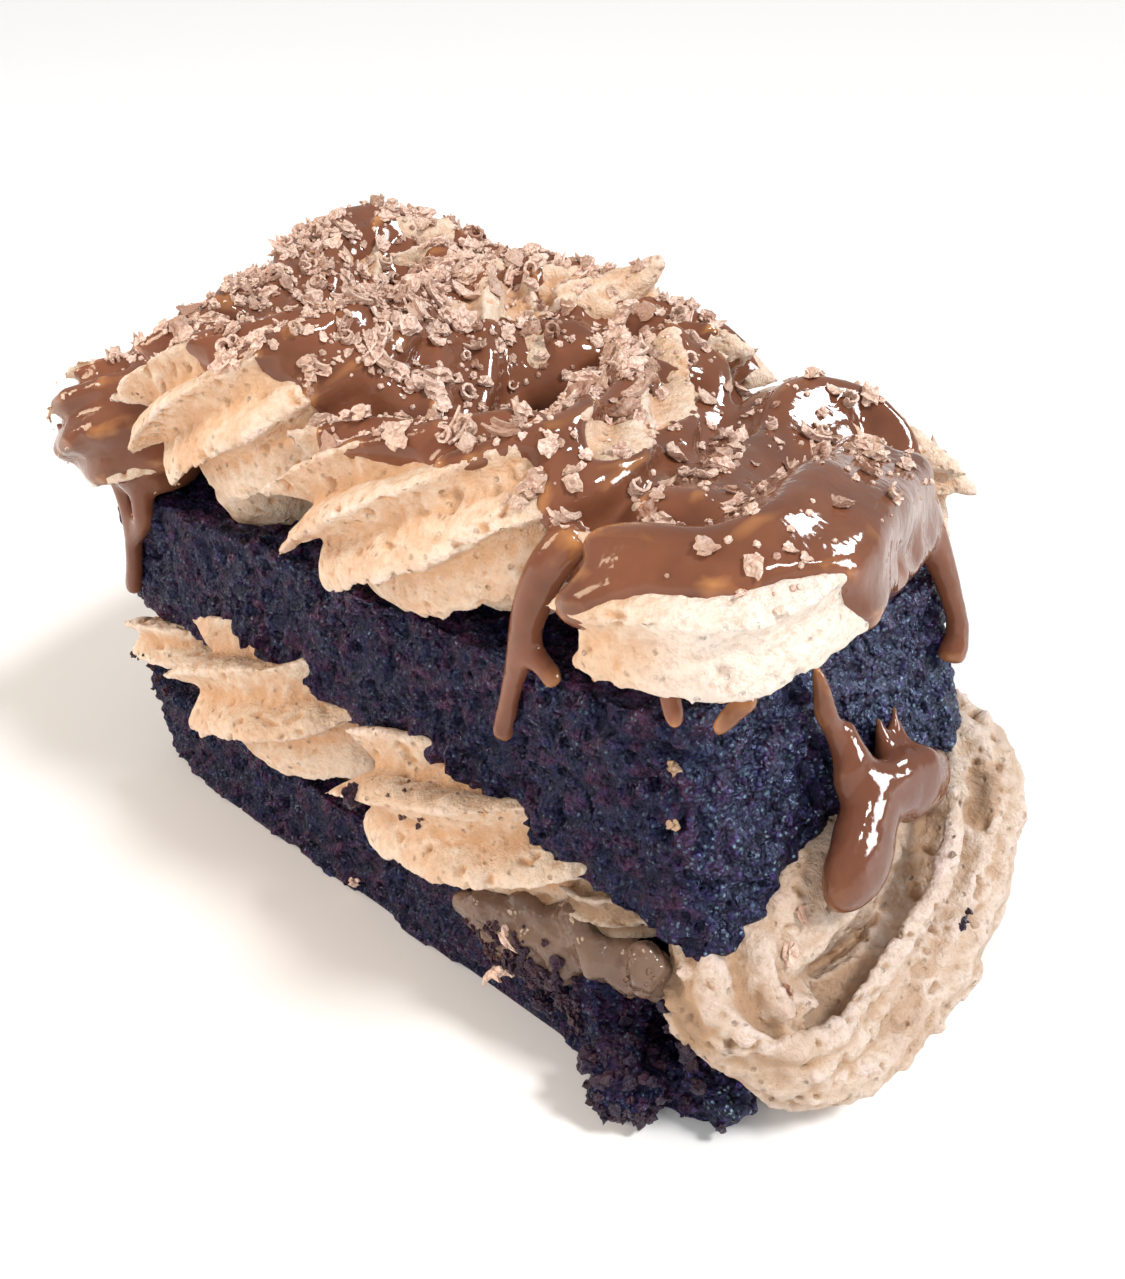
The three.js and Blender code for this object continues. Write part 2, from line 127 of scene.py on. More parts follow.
# Folds of the end swirl that stay in the shade
END_SHADE = [
    [(x, y, z, 1.4 * r) for x, y, z, r in END_GROOVE],
    [(66, -32, 27, 3.5), (70, -34.5, 25, 4), (73, -35.5, 22, 3.5)],
    [(81, 25, 31, 3), (79, 28, 35, 3)],
]

# Lumps: middle and half sizes along x, y and z
BREAK = (70, -36, 17, 17, 14, 15)
RUBBLE = [
    (50, -27, 14, 11, 8.5, 11), (61, -34.5, 6, 7.5, 6, 6.5), (71, -27, 6, 7, 6.5, 6.8),
    (64, -27, 4, 9, 7, 5), (75, 33, 8, 6, 5, 7),
]
SMEARS = [
    (59, -32.5, 23.5, 5, 3.4, 4), (64, -33, 27, 3.6, 3.2, 4), (36, -35, 18.5, 9, 3.2, 6),
    (44, -35, 21, 9, 3.4, 6), (51, -33.5, 24, 9, 3.4, 5),
]
END_CORE = (66, 4, 22, 9, 27, 12)

# Cream that stands up between the strands, and tips at the back: stations of x, y, z and radius
PLUGS = [
    [(-6, 4, 84, 6), (1, 14, 86, 8), (6, 24, 86, 6)],
    [(-5, 21, 93, 5), (1, 29, 96, 4.2), (6.5, 35, 101, 1.4)],
]

# Runs of glaze on the faces: stations of x, y, z and radius
DRIPS = [
    [(-67, -33, 70, 2.4), (-64, -33, 57, 2), (-66, -33, 47, 1.9), (-69, -33, 39, 2.1)],
    [(-57, -33, 68, 2.4), (-59, -33, 58, 2.2), (-63, -33, 52, 1.4)],
    [(50, -30, 89, 3), (46.5, -32.5, 83.5, 3), (43.6, -33.4, 76.5, 2.7), (41, -33.2, 68.5, 2.2),
     (38.3, -33.2, 60.5, 1.8), (36.4, -33.2, 53, 2.4)],
    [(41, -33.4, 70, 2), (44.5, -33.2, 69.4, 1.8), (48.2, -33.2, 66.6, 1.9)],
    [(71.5, -9, 69, 1.1), (72.3, -8.2, 65, 1.5), (72.7, -7.5, 61, 1.9), (73.3, -6, 57, 1.6),
     (74.3, -4.8, 54, 2.4)],
    [(72.6, 5.2, 55, 0.9), (74.3, 4.9, 50.5, 1.5), (75.5, 4.5, 46, 2.4)],
    [(72.6, 9.6, 55, 0.8), (73.8, 8.8, 51, 1.4), (75.5, 8, 47, 2.4)],
    [(68, 20, 79, 3), (71.5, 24, 66, 2), (73, 25, 59, 2), (73, 23, 55, 2.8)],
    [(66, -32, 77, 2), (67.6, -33, 73, 1.7), (69.2, -33.4, 69, 1.5)],
    [(78, -30, 77, 2), (76, -32, 73.5, 1.6), (74, -32.4, 70.4, 1.4)],
]
# The pool that the runs at the right end make: middle and half sizes along x, y and z
POOL = [
    (74.3, -4.5, 55, 1.8, 2.6, 4), (75.8, -4.5, 51, 2.4, 3.8, 4.8), (77.8, -1.6, 47, 3.2, 6, 4.8),
    (79, -5.2, 43.6, 3.6, 6.6, 5.4), (80.4, -8.4, 40.6, 3.6, 7.4, 5.6),
    (81.2, -9.6, 39, 3.2, 7.2, 5.2), (78, 3, 45.4, 3.6, 6, 5.8), (78, 8, 43.4, 3.6, 6, 6.4),
    (77.4, 12.2, 41.4, 3.4, 5, 5.8),
]

# How far down the front the glaze comes, as y plus z, at places along the slab
FRONT_EDGE = [
    (-90, 18), (-76, 26), (-60, 26), (-50, 36), (-46, 50), (-41, 56), (-34, 59.5), (-25, 60),
    (-14, 63), (-6, 64), (-2, 58), (1, 50), (9, 54), (19, 58), (26, 60), (30, 56), (35, 62), (39, 67),
    (42, 64), (45, 54), (48, 30), (54, 36), (58, 42), (62, 45), (65, 47), (69, 51), (76, 55),
    (80, 60), (82, 65), (83.7, 67), (84.6, 66), (86, 64), (90, 60),
]
# Places where the glaze is thin and light shines through it: stations of x, y, z and radius
THIN = [
    [(57, -37, 87.5, 3), (61, -38, 88.5, 3.5), (66, -37, 90, 2.5)],
    [(-52, -30, 92, 2.5), (-46, -36, 88, 2.5)],
]
# Cream that shows through: the two ends of each bare patch and its radius
BARE = [
    (-10, 5, 99, -8, 15, 98, 5), (-5, 23, 97, 6, 33, 100, 5), (3, 23, 96, 20, 5, 96, 3.2),
    (-28, 10, 101, -20, 6, 102, 3.6), (-47, 26, 101, -44, 29, 99, 2.8),
    (-49, 11, 97, -43, 20, 97, 3), (-26, 22, 99, -17, 18, 98, 2.6), (-37, 31, 99, -30, 28, 99, 3),
    (21, 16, 97, 29, 15, 96, 3.4), (34, -16, 95, 27, -6, 95, 2.4),
    (-32, -4, 101, -28, 2, 101, 2.2), (0, 11, 93, 3, 8, 90, 1.3), (43, -18, 95, 31, 12, 91, 3.2),
    (24, 28, 91, 30, 32, 90, 3.5), (80, -2, 84, 74, 16, 80, 2.2), (52, 30, 86, 65, 19, 89, 2.2),
]

# Loose crumbs: middle, spread and number, the largest size, and the shade from dark to tan
CRUMBS = [
    ((42, -38, 15), 7, 260, 1.5, 0.15),
    ((48, -37, 12), 7, 160, 1.8, 0.1),
    ((62, -38, 8), 11, 220, 1.8, 0.05),
    ((34, -38, 17), 4, 40, 1.1, 0.3),
    ((64, -34, 26), 3, 16, 0.9, 0.6),
    ((10.5, -42, 35), 1.1, 14, 2.2, 0.1),
    ((20, -38, 38), 5, 8, 1.2, 0.4),
    ((-70, -36, 22), 8, 40, 1.2, 0.3),
    ((65.5, -30.5, 60.5), 0.8, 7, 1.2, 1.0),
    ((66.8, -31.5, 52.4), 0.6, 5, 1.1, 1.0),
    ((88, 14, 20), 2, 5, 1.6, 0.1),
    ((80, 4, 40), 10, 8, 0.9, 0.6),
]
# Flakes that lie lower down: kind, middle and size in millimetres, and shade from dark to light
FALLEN = [
    ("shard", (41, -40, 21), 4.5, 0.8),
    ("quill", (36, -40, 8), 5.5, 0.8),
    ("bit", (38, -38, 13), 2, 0.8),
    ("chip", (-6, -35, 2), 2.5, 0.8),
    ("shard", (79, -17, 35), 3, 0.1),
    ("chip", (80, -21, 32), 3, 0.4),
    ("chip", (80, -25, 27), 2.4, 0),
    ("bit", (80, -12, 37), 1.6, 0.1),
]
FLAKE_KINDS = ("curl", "chip", "shard", "quill", "bit")
# Where each kind but the last ends on the scale from 0 to 1 that a draw picks it from
FLAKE_SHARES = (0.05, 0.27, 0.48, 0.52)
FLAKE_TRIES = 7500

# Layers of noise: depth, shift and size of the lumps, in millimetres
CREAM_SWELL = ((0.45, 0, 7.0), (0.26, 50, 2.6), (0.2, 90, 1.3))
SPONGE_LUMPS = ((0.5, 0, 4.2), (0.7, 31, 2.1), (0.9, 77, 1.3))
CUSTARD_WAVES = ((0.7, 0, 4.0), (0.5, 9, 1.8))
GLAZE_EDGE = ((1.0, 5, 6.0), (0.5, 25, 2.5))
LOOSE_CRUMB = ((0.7, 0, 3.0), (0.3, 4, 1.2))

# How the crests and hollows are read: rounds of smoothing, and the height that counts as full
CREAM_CRESTS = ((24, 0.0012),)
END_CRESTS = ((60, 0.0032), (16, 0.002))
SPONGE_CRESTS = ((10, 0.0012),)
GLAZE_CRESTS = ((30, 0.0012),)

# Where along x the finishes take painted light towards the right end, in metres: paler on the cream,
# cooler on the sponge
RIGHT_END = (0.0642, 0.0808)
# Fixed colours of the finishes
# Painted light: the paler cream that the top strands turn to at the right end
PAINTED_LIGHT_CREAM = (0.88, 0.80, 0.72)
# Warm tone of the cream, also its painted shade in hollows
WARM_CREAM_AND_SHADE = (0.70, 0.41, 0.23)
# Warm tone of the end swirl, darker as painted shade, also its painted shade in hollows
WARM_END_AND_SHADE = (0.48, 0.30, 0.18)
# Warm tone of the smeared scrap: partly custard smear, partly painted shade
WARM_SMEAR_AND_SHADE = (0.36, 0.22, 0.13)
# Painted glints on the sponge
PAINTED_GLINT_COLOUR = (0.34, 0.56, 0.66)
TAN_CRUMB = (0.45, 0.29, 0.18)
# Glaze where thin: partly the cream beneath, partly painted light shining through
THIN_GLAZE = (0.85, 0.40, 0.13)

# Lights: kind, name, place, size or angle, power and colour
LIGHTS = [
    ("AREA", "window", (0.75, 0.5, 0.35), 0.4, 16.0, (0.95, 0.98, 1.0)),
    ("AREA", "shine", (0.3, 0.85, 0.75), 0.35, 15.0, (0.95, 0.98, 1.0)),
    ("AREA", "lamp", (-0.6, -0.45, 0.4), 0.3, 3.5, (1.0, 0.78, 0.56)),
    ("AREA", "front", (0.35, -0.75, 0.45), 0.7, 3.8, (1.0, 0.99, 0.98)),
    ("SUN", "sky", (0.64, 0.15, 0.88), 0.22, 2.6, (1.0, 0.99, 0.97)),
]
# How bright the room looks to the pieces and to the camera
ROOM_GLOW, ROOM_SEEN = 0.42, 1
# The camera's place in metres, its ways ahead and to the right, tilt in degrees and lens in mm
CAMERA_PLACE = (0.1657, -0.1449, 0.1677)
CAMERA_AHEAD = (-0.6243, 0.5992, -0.5012)
CAMERA_RIGHT = (0.6924, 0.7215, 0)
CAMERA_TILT = 2.30
CAMERA_LENS = 40.8


def metres(name, description, default):
    """A length that a user can change."""
    return bpy.props.FloatProperty(name=name, description=description, default=default, unit="LENGTH")


def finish_colour(name, description, default):
    """A colour that a user can change."""
    return bpy.props.FloatVectorProperty(
        name=name, description=description, default=default, subtype="COLOR"
    )


class CakeSizes(bpy.types.PropertyGroup):
    """Sizes of the slab and its finish"""

    length: metres("Slab length", "Length of the sponges", 0.150)
    width: metres("Slab width", "Width of the sponges", 0.066)
    lower_top: metres("Lower sponge height", "Top of the lower sponge", 0.0186)
    custard_top: metres("Custard top", "Top of the custard layer", 0.021)
    crumb_grain: metres("Crumb grain", "Mesh size of the sponges", 0.00064)
    crumb_depth: metres("Crumb depth", "Depth of the sponge's pores", 0.0017)
    cream_grain: metres("Cream grain", "Mesh size of the piped cream", 0.00062)
    flute: bpy.props.FloatProperty(
        name="Flute depth",
        description="Depth of the grooves over the strand's radius",
        default=0.4,
        subtype="FACTOR",
    )


class CakeColours(bpy.types.PropertyGroup):
    """Colours of the finishes"""

    sponge: finish_colour("Sponge", "Dark crumb", (0.031, 0.016, 0.082))
    cream: finish_colour("Cream", "Chocolate cream", (0.82, 0.65, 0.50))
    custard: finish_colour("Custard", "Custard layer", (0.16, 0.10, 0.072))
    glaze: finish_colour("Glaze", "Poured glaze", (0.195, 0.072, 0.038))
    flakes: finish_colour("Flakes", "Chocolate flakes", (0.70, 0.51, 0.40))
    floor: finish_colour("Floor", "Pale floor", (0.94, 0.94, 0.94))


# Noise and curves


def hashed(i, j, k):
    """Repeatable values between -1 and 1 at the points of a lattice."""
    s = np.sin(i * 127.1 + j * 311.7 + k * 74.7) * 43758.5453
    return 2 * (s - np.floor(s)) - 1


def grain(p, size):
    """Smooth noise between -1 and 1 at points p, with lumps of about one size."""
    q = p / size
    low = np.floor(q)
    u, v, w = ((q - low) ** 2 * (3 - 2 * (q - low))).T
    i, j, k = low.T

    def edge(b, c):
        return hashed(i, j + b, k + c) * (1 - u) + hashed(i + 1, j + b, k + c) * u

    near = edge(0, 0) * (1 - v) + edge(1, 0) * v
    far = edge(0, 1) * (1 - v) + edge(1, 1) * v
    return near * (1 - w) + far * w


def layered(p, layers, base=0):
    """Layers of noise at points p, added to a base."""
    for depth, shift, size in layers:
        base = base + depth * grain(p + shift, size)
    return base


def smooth_step(x, low, high):
    """A soft step from 0 at a low value to 1 at a high one."""
    t = np.clip((x - low) / (high - low), 0, 1)
    return t * t * (3 - 2 * t)


def along(points, t):
    """Points at shares t of a smooth curve through the given points."""
    points = np.array(points, float)
    full = np.vstack([2 * points[0] - points[1], points, 2 * points[-1] - points[-2]])
    place = np.clip(t, 0, 1) * (len(points) - 1)
    n = np.minimum(place.astype(int), len(points) - 2)
    w = (place - n)[:, None]
    a, b, c, d = (full[n + m] for m in range(4))
    gap = [np.sqrt(np.linalg.norm(q - p, axis=1))[:, None] for p, q in ((a, b), (b, c), (c, d))]
    none = 1e-4
    mid = np.where(gap[1] < none, 1, gap[1])
    first = np.where(gap[0] < none, mid, gap[0])
    last = np.where(gap[2] < none, mid, gap[2])
    out = ((b - a) / first - (c - a) / (first + mid) + (c - b) / mid) * mid
    into = ((c - b) / mid - (d - b) / (mid + last) + (d - c) / last) * mid
    bend, turn = -3 * b + 3 * c - 2 * out - into, 2 * b - 2 * c + out + into
    return b + out * w + bend * w**2 + turn * w**3


# Steps of modelling


def only(*pieces):
    """Selects these pieces alone and makes the first one active."""
    bpy.ops.object.select_all(action="DESELECT")
    for piece in pieces:
        piece.select_set(True)
    bpy.context.view_layer.objects.active = pieces[0]


def added(name):
    """Names the piece that is active, which is the one that was made last."""
    piece = bpy.context.active_object
    piece.name = name
    piece.data.name = name
    return piece


def points_of(piece, value="co"):
    """One row for each point of a piece: its place, or another value of three numbers."""
    spots = np.empty(len(piece.data.vertices) * 3)
    piece.data.vertices.foreach_get(value, spots)
    return spots.reshape(-1, 3)


def normals_of(piece):
    return points_of(piece, "normal")


def set_points(piece, spots):
    piece.data.vertices.foreach_set("co", np.asarray(spots, float).ravel())
    piece.data.update()


def push_skin(piece, shift):
    """Moves each point of a skin outwards by its shift in millimetres."""
    set_points(piece, points_of(piece) + normals_of(piece) * (shift * MM)[:, None])


def set_down(piece):
    """Lifts what lies below the floor up to it."""
    spots = points_of(piece)
    spots[:, 2] = np.maximum(spots[:, 2], 0)
    set_points(piece, spots)


def edit_whole(piece, step, **settings):
    """Runs a step of edit mode on all of a piece."""
    only(piece)
    bpy.ops.object.mode_set(mode="EDIT")
    bpy.ops.mesh.select_all(action="SELECT")
    step(**settings)
    bpy.ops.object.mode_set(mode="OBJECT")


def apply_step(piece, kind, **settings):
    """Adds a modifier to a piece and applies it."""
    only(piece)
    step = piece.modifiers.new(kind.title(), kind)
    for key, value in settings.items():
        setattr(step, key, value)
    bpy.ops.object.modifier_apply(modifier=step.name)
    return piece


def joined(name, pieces):
    """Joins pieces into one of a new name."""
    only(*pieces)
    bpy.ops.object.join()
    return added(name)


def one_skin(piece, size):
    """Melts a piece's overlapping bodies into one closed skin."""
    return apply_step(piece, "REMESH", mode="VOXEL", voxel_size=size, adaptivity=0)


def calm_down(piece, rounds, **settings):
    """Smooths a piece for some rounds."""
    return apply_step(piece, "SMOOTH", factor=0.5, iterations=rounds, **settings)


def mark_crests(piece, scales, ways=(), share=-0.42):
    """Stores how far the skin stands over its smoothed self: 0 in hollows, 1 on crests.

    A share is added to that along some ways: less for shade, more for what should look high.
    """
    value = np.full(len(piece.data.vertices), 0.5)
    for rounds, span in scales:
        only(piece)
        bpy.ops.object.duplicate()
        calm = bpy.context.active_object
        calm_down(calm, rounds)
        over = ((points_of(piece) - points_of(calm)) * normals_of(piece)).sum(axis=1)
        bpy.data.objects.remove(calm)
        value += over / span / 2
    for way in ways:
        value += share * closeness(points_of(piece) / MM, way)
    crest = piece.data.attributes.new("crest", "FLOAT", "POINT")
    crest.data.foreach_set("value", np.clip(value, 0, 1))


def smooth_shade(piece):
    only(piece)
    bpy.ops.object.shade_smooth()


def lump(spot, rough=0.0):
    """A ball with a rough skin: middle and half sizes in millimetres."""
    bpy.ops.mesh.primitive_ico_sphere_add(subdivisions=4, radius=1)
    piece = added("lump")
    ball = points_of(piece)
    middle, half = np.array(spot[:3]), np.array(spot[3:])
    skin = 1 + rough * grain(ball * 2 + middle, 1.0)[:, None]
    set_points(piece, (middle + ball * half * skin) * MM)
    return piece


def rope(way, flute, rings=110, sides=96, roll=0.0, twist=0.0, tall=1.0, crown=0.0, ridges=8,
         fold=0.0, torn=0.0, coated=None, end=1):
    """A piped rope: a ball whose rings are carried along a way, with grooves round it.

    flute is the grooves' depth over the radius, and coated their depth away from the rope's
    start. roll and twist turn the ridges, fold leans them over and torn roughens their edges, tall
    stretches the section, crown parts its tips, and end=0 leaves its far end full.
    """
    bpy.ops.mesh.primitive_uv_sphere_add(segments=sides, ring_count=rings, radius=1)
    piece = added("rope")
    ball = points_of(piece)
    level = np.arccos(np.clip(ball[:, 2], -1, 1)) / math.pi
    turn = np.arctan2(ball[:, 1], ball[:, 0])
    t = np.clip((level * rings - 1) / (rings - 2), 0, 1)
    pole = (level * rings < 0.5) | (level * rings > rings - 0.5)
    way = np.array(way, float)
    middle = along(way[:, :3], t)
    ahead = along(way[:, :3], np.clip(t + 1e-3, 0, 1)) - along(way[:, :3], np.clip(t - 1e-3, 0, 1))
    ahead /= np.linalg.norm(ahead, axis=1)[:, None]
    side = np.cross(ahead, [0, 0, 1])
    side /= np.linalg.norm(side, axis=1)[:, None]
    over = np.cross(side, ahead)
    size = np.repeat(way[:, 3:], 3, axis=1) * [1, 0, 0]
    radius = np.maximum(along(size, t)[:, 0], 0.4)
    groove = np.abs(np.sin(ridges * turn / 2))
    bent = turn - fold * (1 - groove) ** 2
    deep = flute if coated is None else flute + (coated - flute) * smooth_step(t, 0.12, 0.4)
    reach = radius * (1 - deep * groove**1.3)
    wave = np.column_stack([t * rings / 7, 3 * np.cos(turn), 3 * np.sin(turn)])
    reach += torn * (1 - groove) ** 2 * grain(wave + way[0, 0], 0.45)
    tips = 9
    near = np.maximum(0, 1 - t * tips) ** 1.5
    far = np.maximum(0, 1 - (1 - t) * tips) ** 1.5 * end
    slim = 1 - 0.35 * (near + far) * groove
    reach = np.where(pole, 0, reach * slim)
    angle = bent + roll + twist * t
    spots = middle + side * (reach * np.cos(angle))[:, None]
    spots += over * (reach * tall * np.sin(angle))[:, None]
    back = crown * (near - far) * np.where(pole, 1, groove)
    spots += ahead * back[:, None]
    set_points(piece, spots * MM)
    edit_whole(piece, bpy.ops.mesh.normals_make_consistent, inside=False)
    return piece


def hook(left, right, z, back_z, lean, r, rise, hang):
    """The front half of a strand's bend, then its right leg, as rope stations."""
    wide = right - left
    front = r - HALF_WIDTH - hang
    return [
        (left + r * 0.3, front, z - rise, r * 0.95),
        (left + wide * 0.3, front - 1, z - rise / 2, r),
        (left + wide * 0.6, front + 1, z + rise / 2, r),
        (right - r * 1.1, front + 8, z + rise, r),
        (right - r - lean * 0.25, front + 21, z + rise / 2, r),
        (right - r - lean * 0.6, 8, z + (back_z - z) * 0.6, r),
        (right - r - lean * 0.9, 22, back_z, r),
    ]


def strand(name, size, flute, coated=None, bed=False):
    """A strand of piped cream: its front bend, its back bend turned round, and what it lies on."""
    left, right, z, back_z = (size[k] for k in ("left", "right", "z", "back_z"))
    lean, r, rise = size["lean"], size["r"], size.get("rise", 0)
    ridges, hang, flute = size.get("ridges", 8), size.get("hang", 9), size.get("flute", flute)
    twist = size.get("twist", 0.44 * ridges)
    cut = dict(roll=size["roll"], twist=twist, ridges=ridges, crown=6.5, fold=0.16, torn=0.6, end=0)
    tall, back_tall = size["tall"], size.get("back_tall", size["tall"])
    way = hook(left, right, z, back_z, lean, r, rise, hang)
    bodies = [rope(way, flute, coated=coated, tall=tall, **cut)]
    middle = left + right - lean
    back_r, back_rise = size.get("back_r", r), size.get("back_rise", rise)
    way = hook(left, right, back_z, z, lean, back_r, back_rise, hang)
    way = [(middle - x, -y, h, s) for x, y, h, s in way]
    bodies.append(rope(way, flute, coated=coated, tall=back_tall, **cut))
    if bed:
        low = min(z, back_z) - 17
        bodies.append(lump((middle / 2 - 1.5, 0, low, (right - left) * 0.26, 30, 14)))
    return joined(name, bodies)


def cream_finish(piece, size, seed, rough=1.0, scales=CREAM_CRESTS, shaded=()):
    """Melts a strand into one skin and gives it the torn, pitted surface of whipped cream."""
    one_skin(piece, size)
    mm = points_of(piece) / MM + seed * 37.0
    pits = np.maximum(0, grain(mm + 130, 1.6) - 0.5) * 2.2
    push_skin(piece, rough * (layered(mm, CREAM_SWELL) - pits))
    mark_crests(piece, scales, shaded)
    smooth_shade(piece)


def closeness(mm, way):
    """1 on a way, falling to 0 at its stations' radii."""
    t = np.linspace(0, 1, 60)
    line = along([stop[:3] for stop in way], t)
    wide = np.interp(t, np.linspace(0, 1, len(way)), [stop[3] for stop in way])
    share = np.full(len(mm), 9.0)
    for stop, r in zip(line, wide):
        share = np.minimum(share, np.linalg.norm(mm - stop, axis=1) / r)
    return np.maximum(0, 1 - share**2) ** 1.5


def press(piece, way, depth):
    """Presses a groove into the end swirl along a way."""
    spots = points_of(piece)
    push = depth * closeness(spots / MM, way)
    set_points(piece, spots + np.outer(push * MM, DENT_WAY))


def cut_away(piece, cutter):
    """Takes a cutter's body out of a piece and deletes the cutter."""
    apply_step(piece, "BOOLEAN", operation="DIFFERENCE", object=cutter, solver="EXACT")
    bpy.data.objects.remove(cutter)


# Finishes


def new_finish(name):
    """A finish, its shader and the place on a piece that its patterns follow."""
    finish = bpy.data.materials.new(name)
    finish.use_nodes = True
    nodes = finish.node_tree.nodes
    return finish, nodes["Principled BSDF"], nodes.new("ShaderNodeTexCoord").outputs["Object"]


def put(socket, value):
    """Links a socket to an output, or sets its own number or colour."""
    if isinstance(value, bpy.types.NodeSocket):
        socket.id_data.links.new(value, socket)
    else:
        socket.default_value = (*value, 1) if socket.type == "RGBA" else value


def dress(shader, looks):
    """Sets or links the shader's own sockets by their names."""
    for name, value in looks.items():
        put(shader.inputs[name], value)


def next_node(beside, kind, **inputs):
    """A new node in the tree of the socket beside it, with some inputs set or linked."""
    node = beside.id_data.nodes.new("ShaderNode" + kind)
    for name, value in inputs.items():
        put(node.inputs[name], value)
    return node


def speckle(place, size, detail=2.0, rough=0.5):
    """Cloudy noise with lumps of one size in metres."""
    node = next_node(place, "TexNoise", Vector=place, Scale=1 / size, Detail=detail, Roughness=rough)
    return node.outputs["Fac"]


def cells(place, size):
    """Distance to the middle of scattered cells, and a number that each cell draws for itself."""
    node = next_node(place, "TexVoronoi", Vector=place, Scale=1 / size)
    lot = next_node(place, "SeparateColor", Color=node.outputs["Color"])
    return node.outputs["Distance"], lot.outputs[0]


def ramp(value, *stops):
    """A ramp over a value: stops of place and grey or colour."""
    node = next_node(value, "ValToRGB", Fac=value)
    marks = node.color_ramp.elements
    while len(marks) < len(stops):
        marks.new(0.5)
    for mark, (at, shade) in zip(marks, stops):
        mark.position = at
        colour = (shade,) * 3 if isinstance(shade, (int, float)) else tuple(shade)
        mark.color = (*colour, 1)
    return node.outputs["Color"]


def mixed(share, first, second):
    """The first colour, with a share of the second laid over it."""
    node = next_node(share, "Mix")
    node.data_type = "RGBA"
    for name, value in (("Factor", share), ("A", first), ("B", second)):
        put(node.inputs[name], value)
    return node.outputs["Result"]


def sums(way, first, second):
    """Two values worked out in one way, such as MULTIPLY."""
    node = next_node(first, "Math")
    node.operation = way
    for socket, value in zip(node.inputs, (first, second)):
        put(socket, value)
    return node.outputs[0]


def bump(height, depth, under=None):
    """A bump of a depth in metres, over another one if there is one."""
    node = next_node(height, "Bump", Height=height, Strength=1.0, Distance=depth)
    if under:
        put(node.inputs["Normal"], under)
    return node.outputs["Normal"]


def tone(colour, k, blue=1.0):
    """A lighter or darker colour, with more or less blue."""
    return tuple(min(1.0, c * k * b) for c, b in zip(colour, (1, 1, blue)))


def own_value(place, name):
    """A value that a piece's own skin carries."""
    node = next_node(place, "Attribute")
    node.attribute_name = name
    return node.outputs["Fac"]


def rising(place, axis, start, end):
    """A value that rises from 0 to 1 between two places along an axis, in metres."""
    axes = next_node(place, "SeparateXYZ", Vector=place)
    past = sums("SUBTRACT", axes.outputs[axis], start)
    return sums("MULTIPLY", past, 1 / (end - start))


def cream_material(name, colour, warm_and_shade, pale=0):
    """Whipped cream: painted shade in warm tones in its hollows and pits, a painted highlight on its
    crests, random warm patches and specks, and paler by a share at the right end as painted light.
    """
    finish, shader, place = new_finish(name)
    crest = own_value(place, "crest")
    # Painted shade and light: darker, warmer hollows and lighter crests
    light = tone(colour, 1.1, 1.12)
    shade = ramp(crest, (0.15, tone(warm_and_shade, 0.6)), (0.42, warm_and_shade), (0.56, colour), (0.75, light))
    broad = ramp(speckle(place, 0.011, 3), (0.45, 0), (0.72, 0.75))
    shade = mixed(broad, shade, warm_and_shade)
    # Painted light: paler towards the right end
    right = ramp(rising(place, "X", *RIGHT_END), (0.1, 0), (0.6, pale))
    shade = mixed(right, shade, PAINTED_LIGHT_CREAM)
    fine = speckle(place, 0.0012, 4, 0.7)
    shade = mixed(ramp(fine, (0.32, 0.5), (0.52, 0)), shade, tone(warm_and_shade, 0.75))
    # Painted shade: the pits darker
    pore = cells(place, 0.0024)[0]
    pits = ramp(pore, (0.05, 0.35), (0.14, 0))
    shade = mixed(pits, shade, tone(warm_and_shade, 0.4, 0.7))
    coarse = bump(speckle(place, 0.0013, 5, 0.65), 0.0009)
    holes = bump(ramp(pore, (0.05, 0), (0.2, 1)), 0.0004, coarse)
    dress(shader, {
        "Base Color": shade, "Roughness": 0.55, "Normal": holes, "Subsurface Weight": 0.1,
        "Subsurface Radius": (1.0, 0.5, 0.25), "Subsurface Scale": 0.002,
    })
    return finish


def sponge_material(name, colour):
    """Dark crumb: maroon and navy in front, with painted cool light and painted glints at the right
    end and painted shade in its pores.
    """
    finish, shader, place = new_finish(name)
    black = tone(colour, 0.2)
    navy = (colour[0] * 0.35, colour[1] * 0.8, colour[2] * 0.75)
    maroon = (colour[0] * 3.0, colour[1] * 1.1, colour[2] * 0.7)
    plum = (colour[0] * 4.2, colour[1] * 5.0, colour[2] * 4.2)
    broad = speckle(place, 0.005, 5, 0.7)
    front = ramp(broad, (0.36, navy), (0.47, tone(colour, 0.6)), (0.6, maroon))
    grit = speckle(place, 0.0017, 5, 0.75)
    front = mixed(ramp(grit, (0.55, 0), (0.72, 0.5)), front, plum)
    cell, pick = cells(place, 0.00085)
    # Painted cool light: the crumb at the right end in cooler colours
    cool_lit_crumb = ramp(pick, (0.25, black), (0.5, navy), (0.75, tone(colour, 1.5)), (0.95, plum))
    cool_lit_crumb = mixed(ramp(grit, (0.43, 0.9), (0.56, 0)), cool_lit_crumb, black)
    right = rising(place, "X", *RIGHT_END)
    shade = mixed(ramp(right, (0.2, 0.06), (0.6, 1)), front, cool_lit_crumb)
    # Painted glints, mostly at the right end
    spark, lot = cells(place, 0.0007)
    spark, lot = ramp(spark, (0.3, 1), (0.42, 0)), ramp(lot, (0.72, 0), (0.8, 1))
    painted_glint = sums("MULTIPLY", spark, lot)
    painted_glint = sums("MULTIPLY", painted_glint, ramp(right, (0.1, 0.35), (0.6, 1)))
    shade = mixed(painted_glint, shade, PAINTED_GLINT_COLOUR)
    # Painted shade: the pores and hollows near black
    crest = ramp(own_value(place, "crest"), (0.38, 0.97), (0.58, 0))
    shade = mixed(crest, shade, black)
    wet = ramp(speckle(place, 0.0008, 3), (0.44, 0.6), (0.56, 0.16))
    grains = bump(speckle(place, 0.0012, 5, 0.75), 0.0036)
    dress(shader, {
        "Base Color": shade, "Roughness": wet, "Normal": bump(cell, -0.0017, grains),
        "Specular IOR Level": 0.65, "Specular Tint": (0.48, 0.64, 1.0),
    })
    return finish


